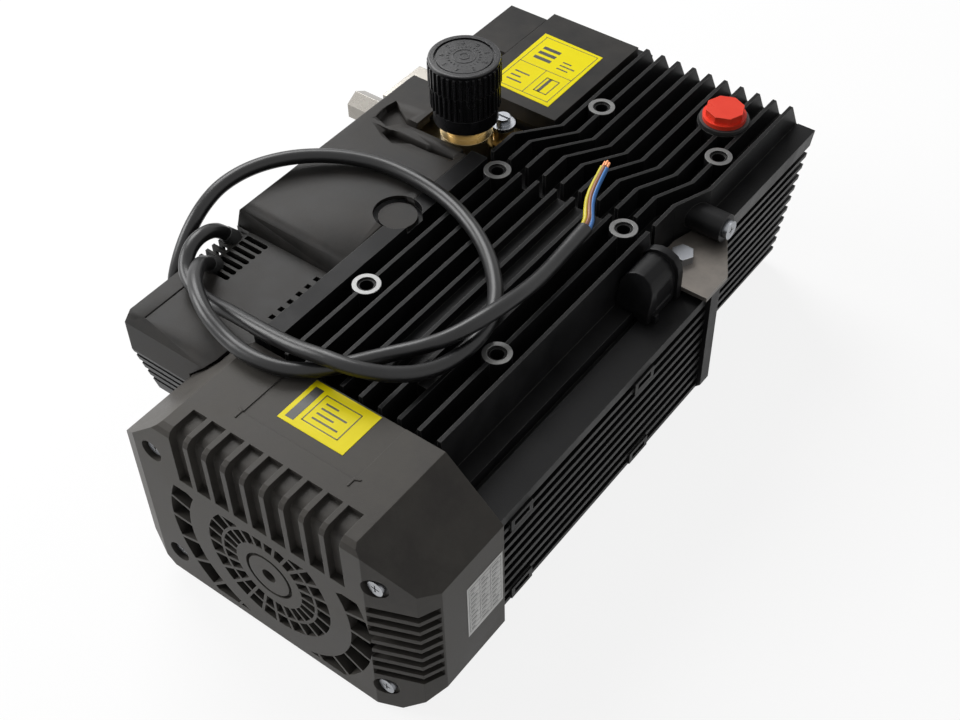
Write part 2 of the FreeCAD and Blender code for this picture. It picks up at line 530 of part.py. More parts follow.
# Fan cowl: chamfered hood with slot wells, a ring grille and louvres round one corner
def fan_cowl():
    body = doc.addObject("PartDesign::Body", "FanCowl")

    def hood(wall, top):
        """Section of the hood, moved in by a wall."""
        return [(f"{side} * ({half} - {inset})", level) for side, half, inset, level in (
            (1, "cowl_top_half", f"{wall} / 2", top),
            (1, "cowl_half_width", wall, f"cowl_shoulder - {wall} / 2"),
            (1, "cowl_half_width", wall, f"cowl_foot + {wall} / 2"),
            (1, "cowl_low_half", wall, f"cowl_low + {wall}"),
            (-1, "cowl_low_half", wall, f"cowl_low + {wall}"),
            (-1, "cowl_half_width", wall, f"cowl_foot + {wall} / 2"),
            (-1, "cowl_half_width", wall, f"cowl_shoulder - {wall} / 2"),
            (-1, "cowl_top_half", f"{wall} / 2", top))]

    pad(body, "XZ", "cowl_front", "cowl_length", [hood("0", "fin_top")])
    pocket(body, "XZ", "motor_front + 1", "cowl_length + 1 - cowl_front_wall - cowl_corner",
           [hood("cowl_wall", "fin_top - well_deep - cowl_wall")])
    pocket(body, "XZ", "motor_front", "cowl_length - cowl_front_wall", [
        rectangle("-cowl_front_half - cowl_wall", "cowl_low + cowl_wall",
                  "cowl_front_half + cowl_wall", "well_ledge")])
    # Bevels of the two front corners and of the top front edge
    for side in (-1, 1):
        corner = [(f"{side} * cowl_front_half", "cowl_front - 1"),
                  (f"{side} * cowl_front_half", "cowl_front"),
                  (f"{side} * cowl_half_width", "cowl_front + cowl_corner"),
                  (f"{side} * (cowl_half_width + 1)", "cowl_front + cowl_corner"),
                  (f"{side} * (cowl_half_width + 1)", "cowl_front - 1")]
        pocket(body, "XY", "fin_top + 1", "fin_top + 2", [corner])
    edge = [("cowl_front - 1", "fin_top - cowl_top_round"), ("cowl_front", "fin_top - cowl_top_round"),
            ("cowl_front + cowl_top_round / 3", "fin_top - cowl_top_round / 3"),
            ("cowl_front + cowl_top_round", "fin_top"), ("cowl_front + cowl_top_round", "fin_top + 1"),
            ("cowl_front - 1", "fin_top + 1")]
    pocket(body, "YZ", "cowl_half_width + 1", "2 * cowl_half_width + 2", [edge])
    # Eight wells over the top front edge
    tops = []
    fronts = []
    for index in range(8):
        left = f"(well_pitch * ({index} - 3.5) - well_wide / 2)"
        tops.append(rectangle(left, "cowl_front - 1", f"{left} + well_wide", "cowl_front + well_long"))
        fronts.append(rectangle(left, "well_ledge", f"{left} + well_wide", "fin_top + 1"))
    pocket(body, "XY", "fin_top", "well_deep", tops)
    pocket(body, "XZ", "cowl_front + well_deep", "well_deep + 1", fronts)
    # Ring grille
    rings = []
    for outer, inner in (("grille_outer", "grille_band_outer"), ("grille_band_inner", "grille_mid + 1"),
                         ("grille_mid - 1", "grille_inner")):
        disc = rod("0", "cowl_front - 1", "axis_height", outer, "cowl_front_wall + 2", "Y")
        core = rod("0", "cowl_front - 2", "axis_height", inner, "cowl_front_wall + 4", "Y")
        rings.append(cut(disc, core))
    window = block("-grille_outer - 1", "cowl_front - 2", "axis_height - grille_half_high",
                   "2 * grille_outer + 2", "cowl_front_wall + 4", "2 * grille_half_high")
    spokes = []
    for index in range(12):
        spoke = block("0", "cowl_front - 3", "0", "2 * grille_outer + 4", "cowl_front_wall + 6",
                      "spoke_wide")
        turn = Rotation(Vector(0, 1, 0), 15 * index + 7.5)
        shift = turn.multVec(Vector(-size("grille_outer + 2"), 0, -size("spoke_wide / 2")))
        spoke.Placement = Placement(Vector(), turn)
        spoke.setExpression("Placement.Base.x", f"{shift.x:.6f}")
        spoke.setExpression("Placement.Base.y", bound("cowl_front - 3"))
        spoke.setExpression("Placement.Base.z", bound(f"axis_height + {shift.z:.6f}"))
        spokes.append(spoke)
    slots = cut(common(group(*rings), window), *spokes)
    hub = rod("0", "cowl_front - 1", "axis_height", "hub_radius", "hub_deep + 1", "Y")
    # Louvres round the right front corner
    louvres = [block("cowl_front_half", "cowl_front - 1", f"louvre_first + {index} * louvre_pitch",
                     "cowl_half_width - cowl_front_half + 1", "louvre_long + 1", "louvre_gap")
               for index in range(10)]
    # Screw pockets and their bosses
    spots = [(f"{side} * cowl_screw_x", level) for side in (-1, 1)
             for level in ("cowl_screw_high", "cowl_screw_low")]
    columns = [rod(x, "cowl_front + cowl_wall", z, "pocket_radius + cowl_wall",
                   "pocket_deep + cowl_wall", "Y") for x, z in spots]
    columns += [rod(x, "cowl_front + pocket_deep", z, "cowl_boss_radius",
                    "cowl_length - pocket_deep", "Y") for x, z in spots]
    inside = prism("XZ", "cowl_front", "cowl_length", [hood("seat", "fin_top - seat")])
    pockets = [rod(x, "cowl_front - 1", z, "pocket_radius", "pocket_deep + 1", "Y") for x, z in spots]
    holes = [rod(x, "cowl_front - 1", z, "screw_radius + slip", "cowl_screw_long + pocket_deep + 2", "Y")
             for x, z in spots]
    shell = cut(body, slots, hub, *louvres)
    node("fan_cowl", cut(fuse(shell, common(inside, fuse(*columns))), *pockets, *holes))
    screws = []
    for x, z in spots:
        head = rod(x, "cowl_front + pocket_deep - screw_head_high", z, "screw_head_radius",
                   "screw_head_high", "Y")
        shank = rod(x, "cowl_front + pocket_deep - 1", z, "screw_radius", "cowl_screw_long + 1", "Y")
        across = [block(f"{x} - {long}", "cowl_front + pocket_deep - screw_head_high - 1",
                        f"{z} - {tall}", f"2 * {long}", "2.2", f"2 * {tall}")
                  for long, tall in ((2.8, 0.5), (0.5, 2.8))]
        screws.append(cut(fuse(head, shank), *across))
    node("cowl_screws", group(*screws))


# Motor: end shield, bearings, stator, rotor on the crankshaft, fan
def motor():
    plate = rod("0", "motor_front", "axis_height", "stator_radius - slip", "motor_end_wall", "Y")
    hub = rod("0", "motor_front", "axis_height", "front_bearing_outer + 5", "front_bearing_wide + 4", "Y")
    seat = rod("0", "motor_front + 3", "axis_height", "front_bearing_outer + slip",
               "front_bearing_wide + 3", "Y")
    hole = rod("0", "motor_front - 1", "axis_height", "fan_shaft_radius + 2", "6", "Y")
    node("motor_end_shield", cut(fuse(plate, hub), seat, hole))

    def ring(y, outer, inner, wide):
        return cut(rod("0", y, "axis_height", outer, wide, "Y"),
                   rod("0", f"{y} - 1", "axis_height", inner, f"{wide} + 2", "Y"))

    node("front_bearing", ring("motor_front + 3", "front_bearing_outer",
                               "fan_shaft_radius + running", "front_bearing_wide"))
    node("middle_bearing", ring("motor_back", "bearing_outer - slip", "shaft_radius + running",
                                "case_front_wall"))
    node("rear_bearing", ring("case_back - rear_cover_thick - bearing_wide + 2",
                              "bearing_outer - slip", "crank_radius + running", "bearing_wide"))
    node("shaft_seal", ring("motor_back - shaft_seal_wide", "shaft_radius + 4 - slip",
                            "shaft_radius + running", "shaft_seal_wide"))
    node("stator_core", ring("stator_front", "stator_radius - slip", "rotor_radius + air_gap",
                             "stator_length"))
    node("stator_windings", group(
        ring("stator_front - end_turn_length", "end_turn_outer", "end_turn_inner", "end_turn_length"),
        ring("stator_rear", "end_turn_outer", "end_turn_inner", "end_turn_length")))
    node("rotor_core", ring("stator_front", "rotor_radius", "shaft_radius + slip", "stator_length"))
    # Crankshaft: the eccentrics stand a third of a turn apart
    main_start = "(motor_front + 3 + front_bearing_wide + seat)"
    pieces = [
        rod("0", "fan_face - fan_blade_high - 4", "axis_height", "fan_shaft_radius",
            f"{main_start} - fan_face + fan_blade_high + 5", "Y"),
        rod("0", main_start, "axis_height", "shaft_radius",
            f"motor_back + case_front_wall + 3 - {main_start}", "Y"),
        rod("0", "motor_back + case_front_wall", "axis_height", "crank_radius",
            "case_length - case_front_wall - rear_cover_thick - 1", "Y"),
    ]
    for index in range(3):
        angle = f"{index} * 120"
        pieces.append(rod(f"throw * cos({angle})",
                          f"motor_back + first_crank + {index} * crank_pitch - eccentric_wide / 2",
                          f"axis_height + throw * sin({angle})", "eccentric_radius",
                          "eccentric_wide", "Y"))
    node("crankshaft", fuse(*pieces))
    # Fan with straight blades that stand towards the grille
    disc = rod("0", "fan_face - fan_disc_thick", "axis_height", "fan_radius", "fan_disc_thick", "Y")
    boss = rod("0", "fan_face - fan_blade_high", "axis_height", "fan_hub_radius",
               "fan_blade_high + 8", "Y")
    blades = []
    for index in range(9):
        blade = block("0", "fan_face - fan_blade_high", "0", "fan_radius - fan_hub_radius + 1",
                      "fan_blade_high - 1", "fan_blade_thick")
        turn = Rotation(Vector(0, 1, 0), 40 * index)
        shift = turn.multVec(Vector(size("fan_hub_radius - 1.2"), 0, -size("fan_blade_thick / 2")))
        blade.Placement = Placement(Vector(), turn)
        blade.setExpression("Placement.Base.x", f"{shift.x:.6f}")
        blade.setExpression("Placement.Base.y", bound("fan_face - fan_blade_high"))
        blade.setExpression("Placement.Base.z", bound(f"axis_height + {shift.z:.6f}"))
        blades.append(blade)
    bore = rod("0", "fan_face - fan_blade_high - 1", "axis_height", "fan_shaft_radius + slip",
               "fan_blade_high + 10", "Y")
    node("fan", cut(common(fuse(disc, boss, *blades),
                           rod("0", "fan_face - fan_blade_high", "axis_height", "fan_radius",
                               "fan_blade_high + 8", "Y")), bore))
    node("fan_clip", ring("fan_face - fan_blade_high - 1.5", "fan_shaft_radius + 3",
                          "fan_shaft_radius + slip", "1.5"))


# Pump: three rods with crossheads, plungers, seals, and the brass head with its valves
def pump():
    seals = []
    plugs = []
    cartridges = []
    tools = []
    for index in range(3):
        y = f"(motor_back + first_crank + {index} * crank_pitch)"
        eye_inner = "eccentric_radius + 2 * throw + big_end_play"
        eye = rod("0", f"{y} - rod_wide / 2", "axis_height", f"{eye_inner} + big_end_wall",
                  "rod_wide", "Y")
        hole = rod("0", f"{y} - rod_wide / 2 - 1", "axis_height", eye_inner, "rod_wide + 2", "Y")
        neck = block("-crosshead_near - 1", f"{y} - rod_wide / 2", "axis_height - rod_neck / 2",
                     f"crosshead_near - {eye_inner}", "rod_wide", "rod_neck")
        shoe = rod("-crosshead_near", y, "axis_height", "crosshead_radius", "crosshead_long", "-X")
        node(f"connecting_rod_{index + 1}", fuse(cut(fuse(eye, neck), hole), shoe))
        node(f"plunger_{index + 1}", rod("-crosshead_near - crosshead_long", y, "axis_height",
                                         "plunger_radius", "plunger_long", "-X"))
        seals.append(cut(rod("-case_left - seat", y, "axis_height", "seal_outer - slip",
                             "seal_wide", "-X"),
                         rod("-case_left + 1", y, "axis_height", "plunger_radius + running",
                             "seal_wide + 3", "-X")))
        tools.append(rod("-case_left + 1", y, "axis_height", "plunger_radius + seat",
                         "plunger_long + 9", "-X"))
        tools.append(rod("-case_left + 1", y, "axis_height", "seal_outer", "seal_wide + seat + 1", "-X"))
        for top, way, along in (("head_high", "", "Z"), ("head_low", "-", "-Z")):
            tools.append(rod("-valve_x", y, "axis_height", "valve_bore", f"head_high - axis_height + 1",
                             along))
            cap = hexagon("-valve_x", y, top, "valve_plug_flat", "valve_plug_high", along)
            stem = rod("-valve_x", y, f"{top} - {way}1 * valve_stem", "valve_bore - slip",
                       "valve_stem + 1", along)
            plugs.append(fuse(cap, stem))
            cage = rod("-valve_x", y, f"axis_height + {way}1 * (plunger_radius + 1)",
                       "valve_bore - slip", "valve_cage", along)
            way_through = rod("-valve_x", y, "axis_height", "valve_bore / 2", "valve_cage + 12", along)
            cartridges.append(cut(cage, way_through))
    for y, z in HEAD_SCREWS:
        tools.append(rod("-case_left + 1", y, z, "head_screw_radius + slip",
                         "head_left - case_left + 2", "-X"))
    tools.append(rod("-outlet_gallery_x", "head_front - 1", "outlet_gallery_z", "gallery_radius",
                     "head_back - head_front - 9", "Y"))
    tools.append(rod("-inlet_gallery_x", "head_front + 10", "head_low + 12", "gallery_radius",
                     "head_back - head_front - 20", "Y"))
    tools.append(rod("-head_left + 30", "head_middle", "head_low + 12", "inlet_bore", "31", "-X"))
    billet = block("-head_left", "head_front", "head_low", "head_left - case_left",
                   "head_back - head_front", "head_high - head_low")
    node("cylinder_head", cut(billet, *tools))
    node("plunger_seals", group(*seals))
    node("valve_plugs", group(*plugs))
    node("valve_cartridges", group(*cartridges))
    screws = []
    for y, z in HEAD_SCREWS:
        shank = rod("-case_left + head_screw_deep - 1", y, z, "head_screw_radius",
                    "head_left - case_left + head_screw_deep - 1", "-X")
        head = rod("-head_left", y, z, "head_screw_head", "8", "-X")
        socket = hexagon("-head_left - 4", y, z, "3", "5", "-X")
        screws.append(cut(fuse(shank, head), socket))
    node("head_screws", group(*screws))
    nut = hexagon("-head_left", "head_middle", "head_low + 12", "inlet_radius + 2", "8", "-X")
    tail = rod("-head_left - 7", "head_middle", "head_low + 12", "inlet_radius", "inlet_long - 7", "-X")
    bore = rod("-head_left + 1", "head_middle", "head_low + 12", "inlet_bore", "inlet_long + 2", "-X")
    node("inlet_fitting", cut(fuse(nut, tail), bore))
    plate = block("-manifold_left", "manifold_y", "manifold_low", "manifold_left - head_left",
                  "manifold_long", "bracket_high - manifold_low")
    node("hose_bracket", plate)


# Regulator: brass body and tower, spindle, spring and piston, knob with its collar
def regulator():
    trunk = block("-tower_x - valve_body_half", "tower_y - 18", "valve_body_low",
                  "tower_x + valve_body_half - case_left - seat", "head_front - tower_y + 18",
                  "tower_block_high - valve_body_low")
    tower = rod("-tower_x", "tower_y", "tower_block_high - 1", "tower_radius",
                "tower_top - tower_block_high + 1")
    neck = rod("-tower_x", "tower_y", "tower_top - 1", "neck_radius", "neck_high + 1")
    branch = rod("-tower_x - valve_body_half + 1", "branch_y", "branch_height", "branch_radius",
                 "branch_end - tower_x - valve_body_half + 1", "-X")
    bore = rod("-tower_x", "tower_y", "spring_seat", "spring_radius + seat",
               "tower_top - 6 - spring_seat")
    stem = rod("-tower_x", "tower_y", "tower_top - 7", "spindle_radius + running", "neck_high + 9")
    under = rod("-tower_x", "tower_y", "spring_seat - piston_long", "piston_radius + running",
                "piston_long + 1")
    # Water leaves the head through the gallery, climbs the riser and turns into the branch
    across = rod("-outlet_gallery_x", "branch_y", "branch_height", "branch_bore",
                 "branch_end - outlet_gallery_x + 1", "-X")
    gallery = rod("-outlet_gallery_x", "branch_y", "outlet_gallery_z", "gallery_radius",
                  "head_front - branch_y + 1", "Y")
    riser = rod("-outlet_gallery_x", "branch_y", "sense_height", "riser_bore",
                "branch_height - sense_height")
    sense = rod("-tower_x", "tower_y + sense_offset", "sense_height", "sense_bore",
                "outlet_gallery_x - tower_x", "-X")
    shelf = block("-shelf_left", "shelf_front", "head_high + seat", "shelf_left - shelf_right",
                  "far_cover_front - 1 - shelf_front", "shelf_top - head_high - seat")
    boss = rod("-slot_screw_x", "slot_screw_y", "shelf_top - 1", "slot_boss_radius", "slot_boss_high + 1")
    node("regulator_body", cut(fuse(trunk, tower, neck, branch, shelf, boss), bore, stem, under, across,
                               gallery, riser, sense))
    flange = rod("-slot_screw_x", "slot_screw_y", "shelf_top + slot_boss_high", "slot_flange_radius", "3")
    head = rod("-slot_screw_x", "slot_screw_y", "shelf_top + slot_boss_high + 2", "slot_screw_radius",
               "slot_screw_high + 1")
    slot = block("-slot_screw_x - slot_screw_radius", "slot_screw_y - 0.8",
                 "shelf_top + slot_boss_high + slot_screw_high + 1.5", "2 * slot_screw_radius", "1.6", "2")
    node("slotted_plug", cut(fuse(flange, head), slot))
    hexa = hexagon("-branch_end", "branch_y", "branch_height", "outlet_flat", "outlet_long", "-X")
    node("outlet_fitting", cut(hexa, rod("-branch_end + 1", "branch_y", "branch_height",
                                         "outlet_bore", "outlet_long + 2", "-X")))
    node("regulator_collar", cut(rod("-tower_x", "tower_y", "tower_top + neck_high", "collar_radius",
                                     "collar_high"),
                                 rod("-tower_x", "tower_y", "tower_top + neck_high - 1",
                                     "spindle_radius + 2", "collar_high + 2")))
    spindle_top = "(knob_base + knob_bore_deep - spindle_travel - 2)"
    spindle_low = "(spring_seat + spring_long)"
    rod_part = rod("-tower_x", "tower_y", spindle_low, "spindle_radius", f"{spindle_top} - {spindle_low}")
    plate = rod("-tower_x", "tower_y", spindle_low, "spring_radius - seat", "4")
    node("regulator_spindle", fuse(rod_part, plate))
    node("regulator_piston", fuse(
        rod("-tower_x", "tower_y", "spring_seat - piston_long + piston_travel", "piston_radius",
            "piston_long"),
        rod("-tower_x", "tower_y", "spring_seat + piston_travel - 1", "spring_radius - seat", "3")))
    # Knob: thirty-six flutes over a smaller skirt
    skirt = rod("-tower_x", "tower_y", "knob_base", "knob_skirt_radius", "knob_skirt_high + 1")
    crown = rod("-tower_x", "tower_y", "knob_base + knob_skirt_high", "knob_radius", "knob_high")
    dish = rod("-tower_x", "tower_y", "knob_base + knob_skirt_high + knob_high - knob_dish_deep",
               "knob_dish", "knob_dish_deep + 1")
    socket = rod("-tower_x", "tower_y", "knob_base - 1", "spindle_radius + running",
                 "knob_bore_deep + 1")
    flutes = []
    for index in range(int(size("knob_flutes"))):
        angle = f"({index} * 360 / knob_flutes)"
        for reach, low, high in (("knob_radius", "knob_skirt_high + 2", "knob_high - 4"),
                                 ("knob_skirt_radius", "1.5", "knob_skirt_high - 1.5")):
            flutes.append(rod(f"-tower_x + ({reach} + 0.4) * cos({angle})",
                              f"tower_y + ({reach} + 0.4) * sin({angle})",
                              f"knob_base + {low}", "flute_radius", high))
    node("regulator_knob", cut(fuse(skirt, crown), dish, socket, *flutes))


# Spring of the regulator, swept along a helix
def regulator_spring():
    helix = doc.addObject("Part::Helix", "SpringLine")
    helix.setExpression("Radius", bound("spring_radius - spring_wire"))
    helix.setExpression("Height", bound("spring_long - piston_travel - 2 - spring_wire - 2 * seat"))
    helix.setExpression("Pitch", bound("spring_pitch"))
    helix.SegmentLength = 0
    ring = doc.addObject("Part::Circle", "SpringSection")
    ring.setExpression("Radius", bound("spring_wire / 2"))
    ring.Placement = Placement(Vector(), Rotation(Vector(1, 0, 0), 90))
    ring.setExpression("Placement.Base.x", bound("spring_radius - spring_wire"))
    coil = doc.addObject("Part::Sweep", "Coil")
    coil.Sections = [ring]
    coil.Spine = (helix, [])
    coil.Solid = True
    coil.Frenet = True
    place(coil, "-tower_x", "tower_y", "spring_seat + piston_travel + 2 + spring_wire / 2 + seat")
    node("regulator_spring", coil)


def filler_plug():
    washer = cut(rod("cap_x", "cap_y", "fin_top", "washer_radius", "washer_high"),
                 rod("cap_x", "cap_y", "fin_top - 1", "cap_stem_radius + seat", "washer_high + 2"))
    node("filler_washer", washer)
    flange = rod("cap_x", "cap_y", "fin_top + washer_high", "cap_flange_radius", "cap_flange_high")
    crown = doc.addObject("Part::Prism", "Octagon")
    crown.Polygon = 8
    crown.setExpression("Circumradius", bound("cap_radius"))
    crown.setExpression("Height", bound("cap_high + 1"))
    place(crown, "cap_x", "cap_y", "fin_top + washer_high + cap_flange_high - 1")
    stem = rod("cap_x", "cap_y", "fin_top + washer_high - cap_stem_long", "cap_stem_radius",
               "cap_stem_long + 1")
    node("filler_plug", fuse(flange, crown, stem))


# Terminal box on the left front, with its vented cover
def terminal_box():
    cowl_side = [("-cowl_half_width - box_gap", "0"), ("-cowl_half_width - box_gap", "cowl_shoulder"),
                 ("-cowl_top_half - box_gap", "fin_top + box_gap"), ("0", "fin_top + box_gap"), ("0", "0")]
    body = doc.addObject("PartDesign::Body", "BoxCover")
    pad(body, "XY", "box_split", "box_top - box_split",
        [rectangle("-box_left", "box_front_y", "-housing_left - seat", "cover_front - seat")])
    pocket(body, "XY", "box_top - box_wall", "box_top - box_split",
           [rectangle("-box_left + box_wall", "box_front_y + box_edge + 2", "-housing_left - seat - box_wall",
                      "cover_front - seat - box_wall")])
    pocket(body, "XZ", "motor_front + seat", "motor_front - box_front_y + 2", [cowl_side])
    bevel = [("box_front_y - 1", "box_top - box_edge"), ("box_front_y", "box_top - box_edge"),
             ("box_front_y + box_edge", "box_top"), ("box_front_y + box_edge", "box_top + 1"),
             ("box_front_y - 1", "box_top + 1")]
    pocket(body, "YZ", "0", "box_left + 1", [bevel])
    inner = prism("XZ", "box_front_y + 1", "motor_front - box_front_y + 3", [[
        ("-cowl_half_width - box_gap - box_wall", "box_split"),
        ("-cowl_half_width - box_gap - box_wall", "cowl_shoulder"),
        ("-cowl_top_half - box_gap - box_wall", "fin_top"), ("-cowl_top_half", "fin_top"),
        ("-cowl_half_width - box_gap", "cowl_shoulder"), ("-cowl_half_width - box_gap", "box_split")]])
    trim = block("-box_left", "box_front_y + box_edge", "box_split", "box_left",
                 "motor_front - box_front_y", "box_top - box_split - 1")
    vents = [block("-box_left - 1", f"vent_start + {index} * vent_pitch", "box_top - 12",
                   "vent_long", "vent_wide", "13") for index in range(8)]
    vents += [block("-box_left + vent_long + 2", f"vent_start + ({index} + 0.5) * vent_pitch",
                    "box_top - box_wall - 1", "vent_long / 2", "vent_wide", "box_wall + 2")
              for index in range(8)]
    groove = block("-groove_x", "box_front_y + box_edge", "box_top - 1", "1.4",
                   "groove_long", "2")
    comb = [block("-comb_x", f"box_comb_start + {index} * comb_pitch", "box_top - box_wall - 1", "5",
                  "3.6", "box_wall + 2") for index in range(8)]
    node("terminal_box_cover", cut(fuse(body, common(inner, trim)), *vents, groove, *comb))
    base = doc.addObject("PartDesign::Body", "BoxBase")
    front = [("box_front_y", "box_split"), ("cover_front - seat", "box_split"),
             ("cover_front - seat", "box_low"), ("box_front_y + box_slant", "box_low")]
    pad(base, "YZ", "-box_left", "box_left - housing_left - seat", [front])
    pocket(base, "XZ", "motor_front + seat", "motor_front - box_front_y + 2",
           [rectangle("-cowl_half_width - box_gap", "0", "0", "box_top")])
    hollow = rectangle("-box_left + box_wall", "box_front_y + box_slant + box_wall + 3",
                       "-cowl_half_width - box_gap - box_wall", "cover_front - seat - box_wall")
    pocket(base, "XY", "box_split + 1", "box_split + 1 - box_low - box_wall", [hollow])
    ribs = [block("-box_left - 1", f"box_front_y - 1 + box_slant * ({index} + 0.5) / 5",
                  f"box_split - (box_split - box_low) * ({index} + 1) / 5 + 2",
                  "box_left - cowl_half_width", "2.4", "4") for index in range(4)]
    ledge = block("-gland_x - gland_radius - 4", "gland_y - gland_radius - 4", "gland_seat - gland_ledge",
                  "gland_x + gland_radius + 5 - box_left", "2 * gland_radius + 8", "gland_ledge")
    node("terminal_box_base", fuse(cut(base, *ribs), ledge))
    node("terminal_block", block("-box_left + 14", "box_front_y + 40", "box_low + box_wall", "26",
                                 "44", "24"))
    node("cable_gland", fuse(hexagon("-gland_x", "gland_y", "gland_seat", "gland_radius", "5"),
                             rod("-gland_x", "gland_y", "gland_seat + 4", "gland_radius - 1.5",
                                 "gland_high - 4")))
    node("cable_bushes", group(*[rod(x, y, "box_top", "bush_radius", "bush_high")
                                 for x, y in (("-link_bush_x", "link_bush_y"),
                                              ("-mains_bush_x", "mains_bush_y"))]))


# Dark covers over the regulator side and the pump head
def covers():
    body = doc.addObject("PartDesign::Body", "LeftCover")
    section = [("-box_left", "cover_low"), ("-box_left", "fin_top - 5"), ("-box_left + 5", "fin_top"),
               ("-left_wall_out - seat", "fin_top"), ("-left_wall_out - seat", "left_step + seat"),
               ("-housing_left - seat", "left_step + seat"), ("-housing_left - seat", "cover_low")]
    pad(body, "XZ", "cover_front", "cover_length", [section])
    pocket(body, "XY", "fin_top - cover_wall", "fin_top - cover_low", [
        rectangle("-box_left + cover_wall", "cover_front + cover_round + cover_wall",
                  "-housing_left - seat - cover_wall", "cover_back - cover_wall")])
    slope = [("cover_front - 1", "box_top"), ("cover_front", "box_top"),
             ("cover_front + cover_round / 3", "fin_top - cover_round / 3"),
             ("cover_front + cover_round", "fin_top"), ("cover_front + cover_round", "fin_top + 1"),
             ("cover_front - 1", "fin_top + 1")]
    pocket(body, "YZ", "0", "box_left + 1", [slope])
    notch = rectangle("-notch_left", "notch_y", "0", "cover_back + 1")
    pocket(body, "XY", "fin_top + 1", "fin_top - cover_low + 2", [notch])
    recess = rod("-disc_x", "disc_y", "fin_top - disc_deep - disc_thick", "disc_radius + disc_gap",
                 "disc_deep + disc_thick + 1")
    window = block("-box_left - 1", "branch_y - branch_radius - 3", "cover_low - 1", "cover_wall + 3",
                   "2 * branch_radius + 6", "branch_height + branch_radius + 4 - cover_low")
    slots = [block(x, y, "fin_top - cover_wall - 1", long, "6", "cover_wall + 2")
             for x, y, long in (("-146", "notch_y - 8", "22"), ("-130", "notch_y - 17", "50"))]
    node("left_cover", cut(body, recess, window, *slots))
    node("cover_disc", rod("-disc_x", "disc_y", "fin_top - disc_deep - disc_thick", "disc_radius",
                           "disc_thick"))
    tub = rod("-cap_can_x", "cover_front + 22", "cap_can_z", "cap_can_radius", "cap_can_long", "Y")
    node("run_capacitor", tub)

    def tray(left, front, long, wide, low):
        """A cover open underneath."""
        outer = block(f"-{left}", front, low, wide, long, f"fin_top - {low}")
        inner = block(f"-{left} + cover_wall", f"{front} + cover_wall", f"{low} - 1",
                      f"{wide} - 2 * cover_wall", f"{long} - 2 * cover_wall",
                      f"fin_top - cover_wall - {low} + 1")
        return cut(outer, inner)

    far_low = "(head_high + valve_plug_high + 1)"
    far = tray("far_cover_seam", "far_cover_front", "far_cover_long", "far_cover_seam - far_cover_right",
               far_low)
    step = block("-case_left - seat", "far_cover_front - 1", f"{far_low} - 1", "case_left",
                 "far_cover_long + 2", f"case_left_top + 1 - {far_low}")
    node("far_cover", cut(far, step))
    node("far_cover_left", tray("side_cover_left", "side_cover_front", "side_cover_long",
                                "side_cover_left - far_cover_seam - seat", "head_high"))


# Dark block on the side shelf, steel bracket and the fasteners beside it
def side_fittings():
    barrel = rod("block_x", "block_near", "block_height", "block_radius", "block_long + 1", "Y")
    bevel = cone("block_x", "block_near - 4", "block_height", "block_radius - 3", "block_radius", "4", "Y")
    ring = rod("block_x", "block_near + block_long", "block_height", "ring_radius", "ring_wide", "Y")
    room = block("near_fin_edge + wall_draft + seat", "block_near - 5", "channel_floor + seat",
                 "2 * ring_radius", "block_long + ring_wide + 6", "2 * ring_radius")
    foot = block("block_x + 3", "block_near + 2", "shelf_height", "9", "block_long - 4",
                 "channel_floor + 1 - shelf_height")
    node("side_block", fuse(common(fuse(barrel, bevel, ring), room), foot))
    inner_edge = "near_fin_edge + wall_draft + seat"
    plate = prism("XY", "bracket_seat", "bracket_thick", [[
        (inner_edge, "bracket_y"), ("bracket_right", "bracket_y"),
        ("bracket_right", "bracket_y + bracket_straight"),
        ("barrel_end", "bracket_y + bracket_length"),
        ("far_fin_right - 2", "bracket_y + bracket_length"),
        (inner_edge, "jog_front - 2")]], [("bolt_x", "bolt_y", "bolt_radius + slip")])
    node("steel_bracket", plate)
    head = hexagon("bolt_x", "bolt_y", "bracket_seat + bracket_thick", "bolt_flat", "bolt_head")
    shank = rod("bolt_x", "bolt_y", "bracket_seat + bracket_thick - bolt_long", "bolt_radius",
                "bolt_long + 1")
    node("bracket_bolt", fuse(head, shank))
    pan = rod("barrel_end", "barrel_y", "barrel_height", "screw_head_radius + 1", "screw_head_high", "X")
    stem = rod("barrel_end - 12", "barrel_y", "barrel_height", "screw_radius - slip", "13", "X")
    across = [block("barrel_end + screw_head_high - 1.4", f"barrel_y - {long}",
                    f"barrel_height - {tall}", "2", f"2 * {long}", f"2 * {tall}")
              for long, tall in ((3, 0.5), (0.5, 3))]
    node("barrel_screw", cut(fuse(pan, stem), *across))


# Leads: straight runs joined by tangent arcs
LINK_ROUTE = [
    (-151, -72, 139), (-151, -72, 146), (-155, -81, 149), (-157, -90, 151), (-153, -104, 147),
    (-148, -113, 149), (-143, -118, 144), (-133, -121, 140.5), (-117, -124, 141), (-97, -127, 147),
    (-69, -134, 156.5), (-41, -137, 162), (-17, -136, 167), (2, -133, 167), (17, -123, 163),
    (28, -108, 158), (34, -90, 155), (36, -70, 155), (33, -51, 155), (24, -33, 155), (9, -16, 155),
    (-8, -2, 155), (-29, 10, 155), (-53, 19, 155), (-80, 23, 155), (-107, 22, 155), (-128, 14, 156),
    (-145, 3, 157), (-160, -13, 158), (-171, -33, 158), (-175, -54, 157), (-177, -70, 154),
    (-175, -86, 148), (-174, -94, 137), (-171, -110, 120), (-171, -110, 104),
]
MAINS_ROUTE = [
    (-143, -98, 139), (-143, -98, 146), (-137, -114, 153), (-127, -127, 158), (-115, -138, 158),
    (-100, -146, 156), (-82, -151, 155), (-61, -153, 156), (-43, -151, 156), (-29, -144, 155),
    (-17, -132, 155), (-8, -120, 155), (1, -107, 155), (14, -93, 157), (28, -81, 164),
    (37, -62, 169), (40, -39, 167), (39, -12, 161), (36, 15, 158), (34, 43, 158),
]
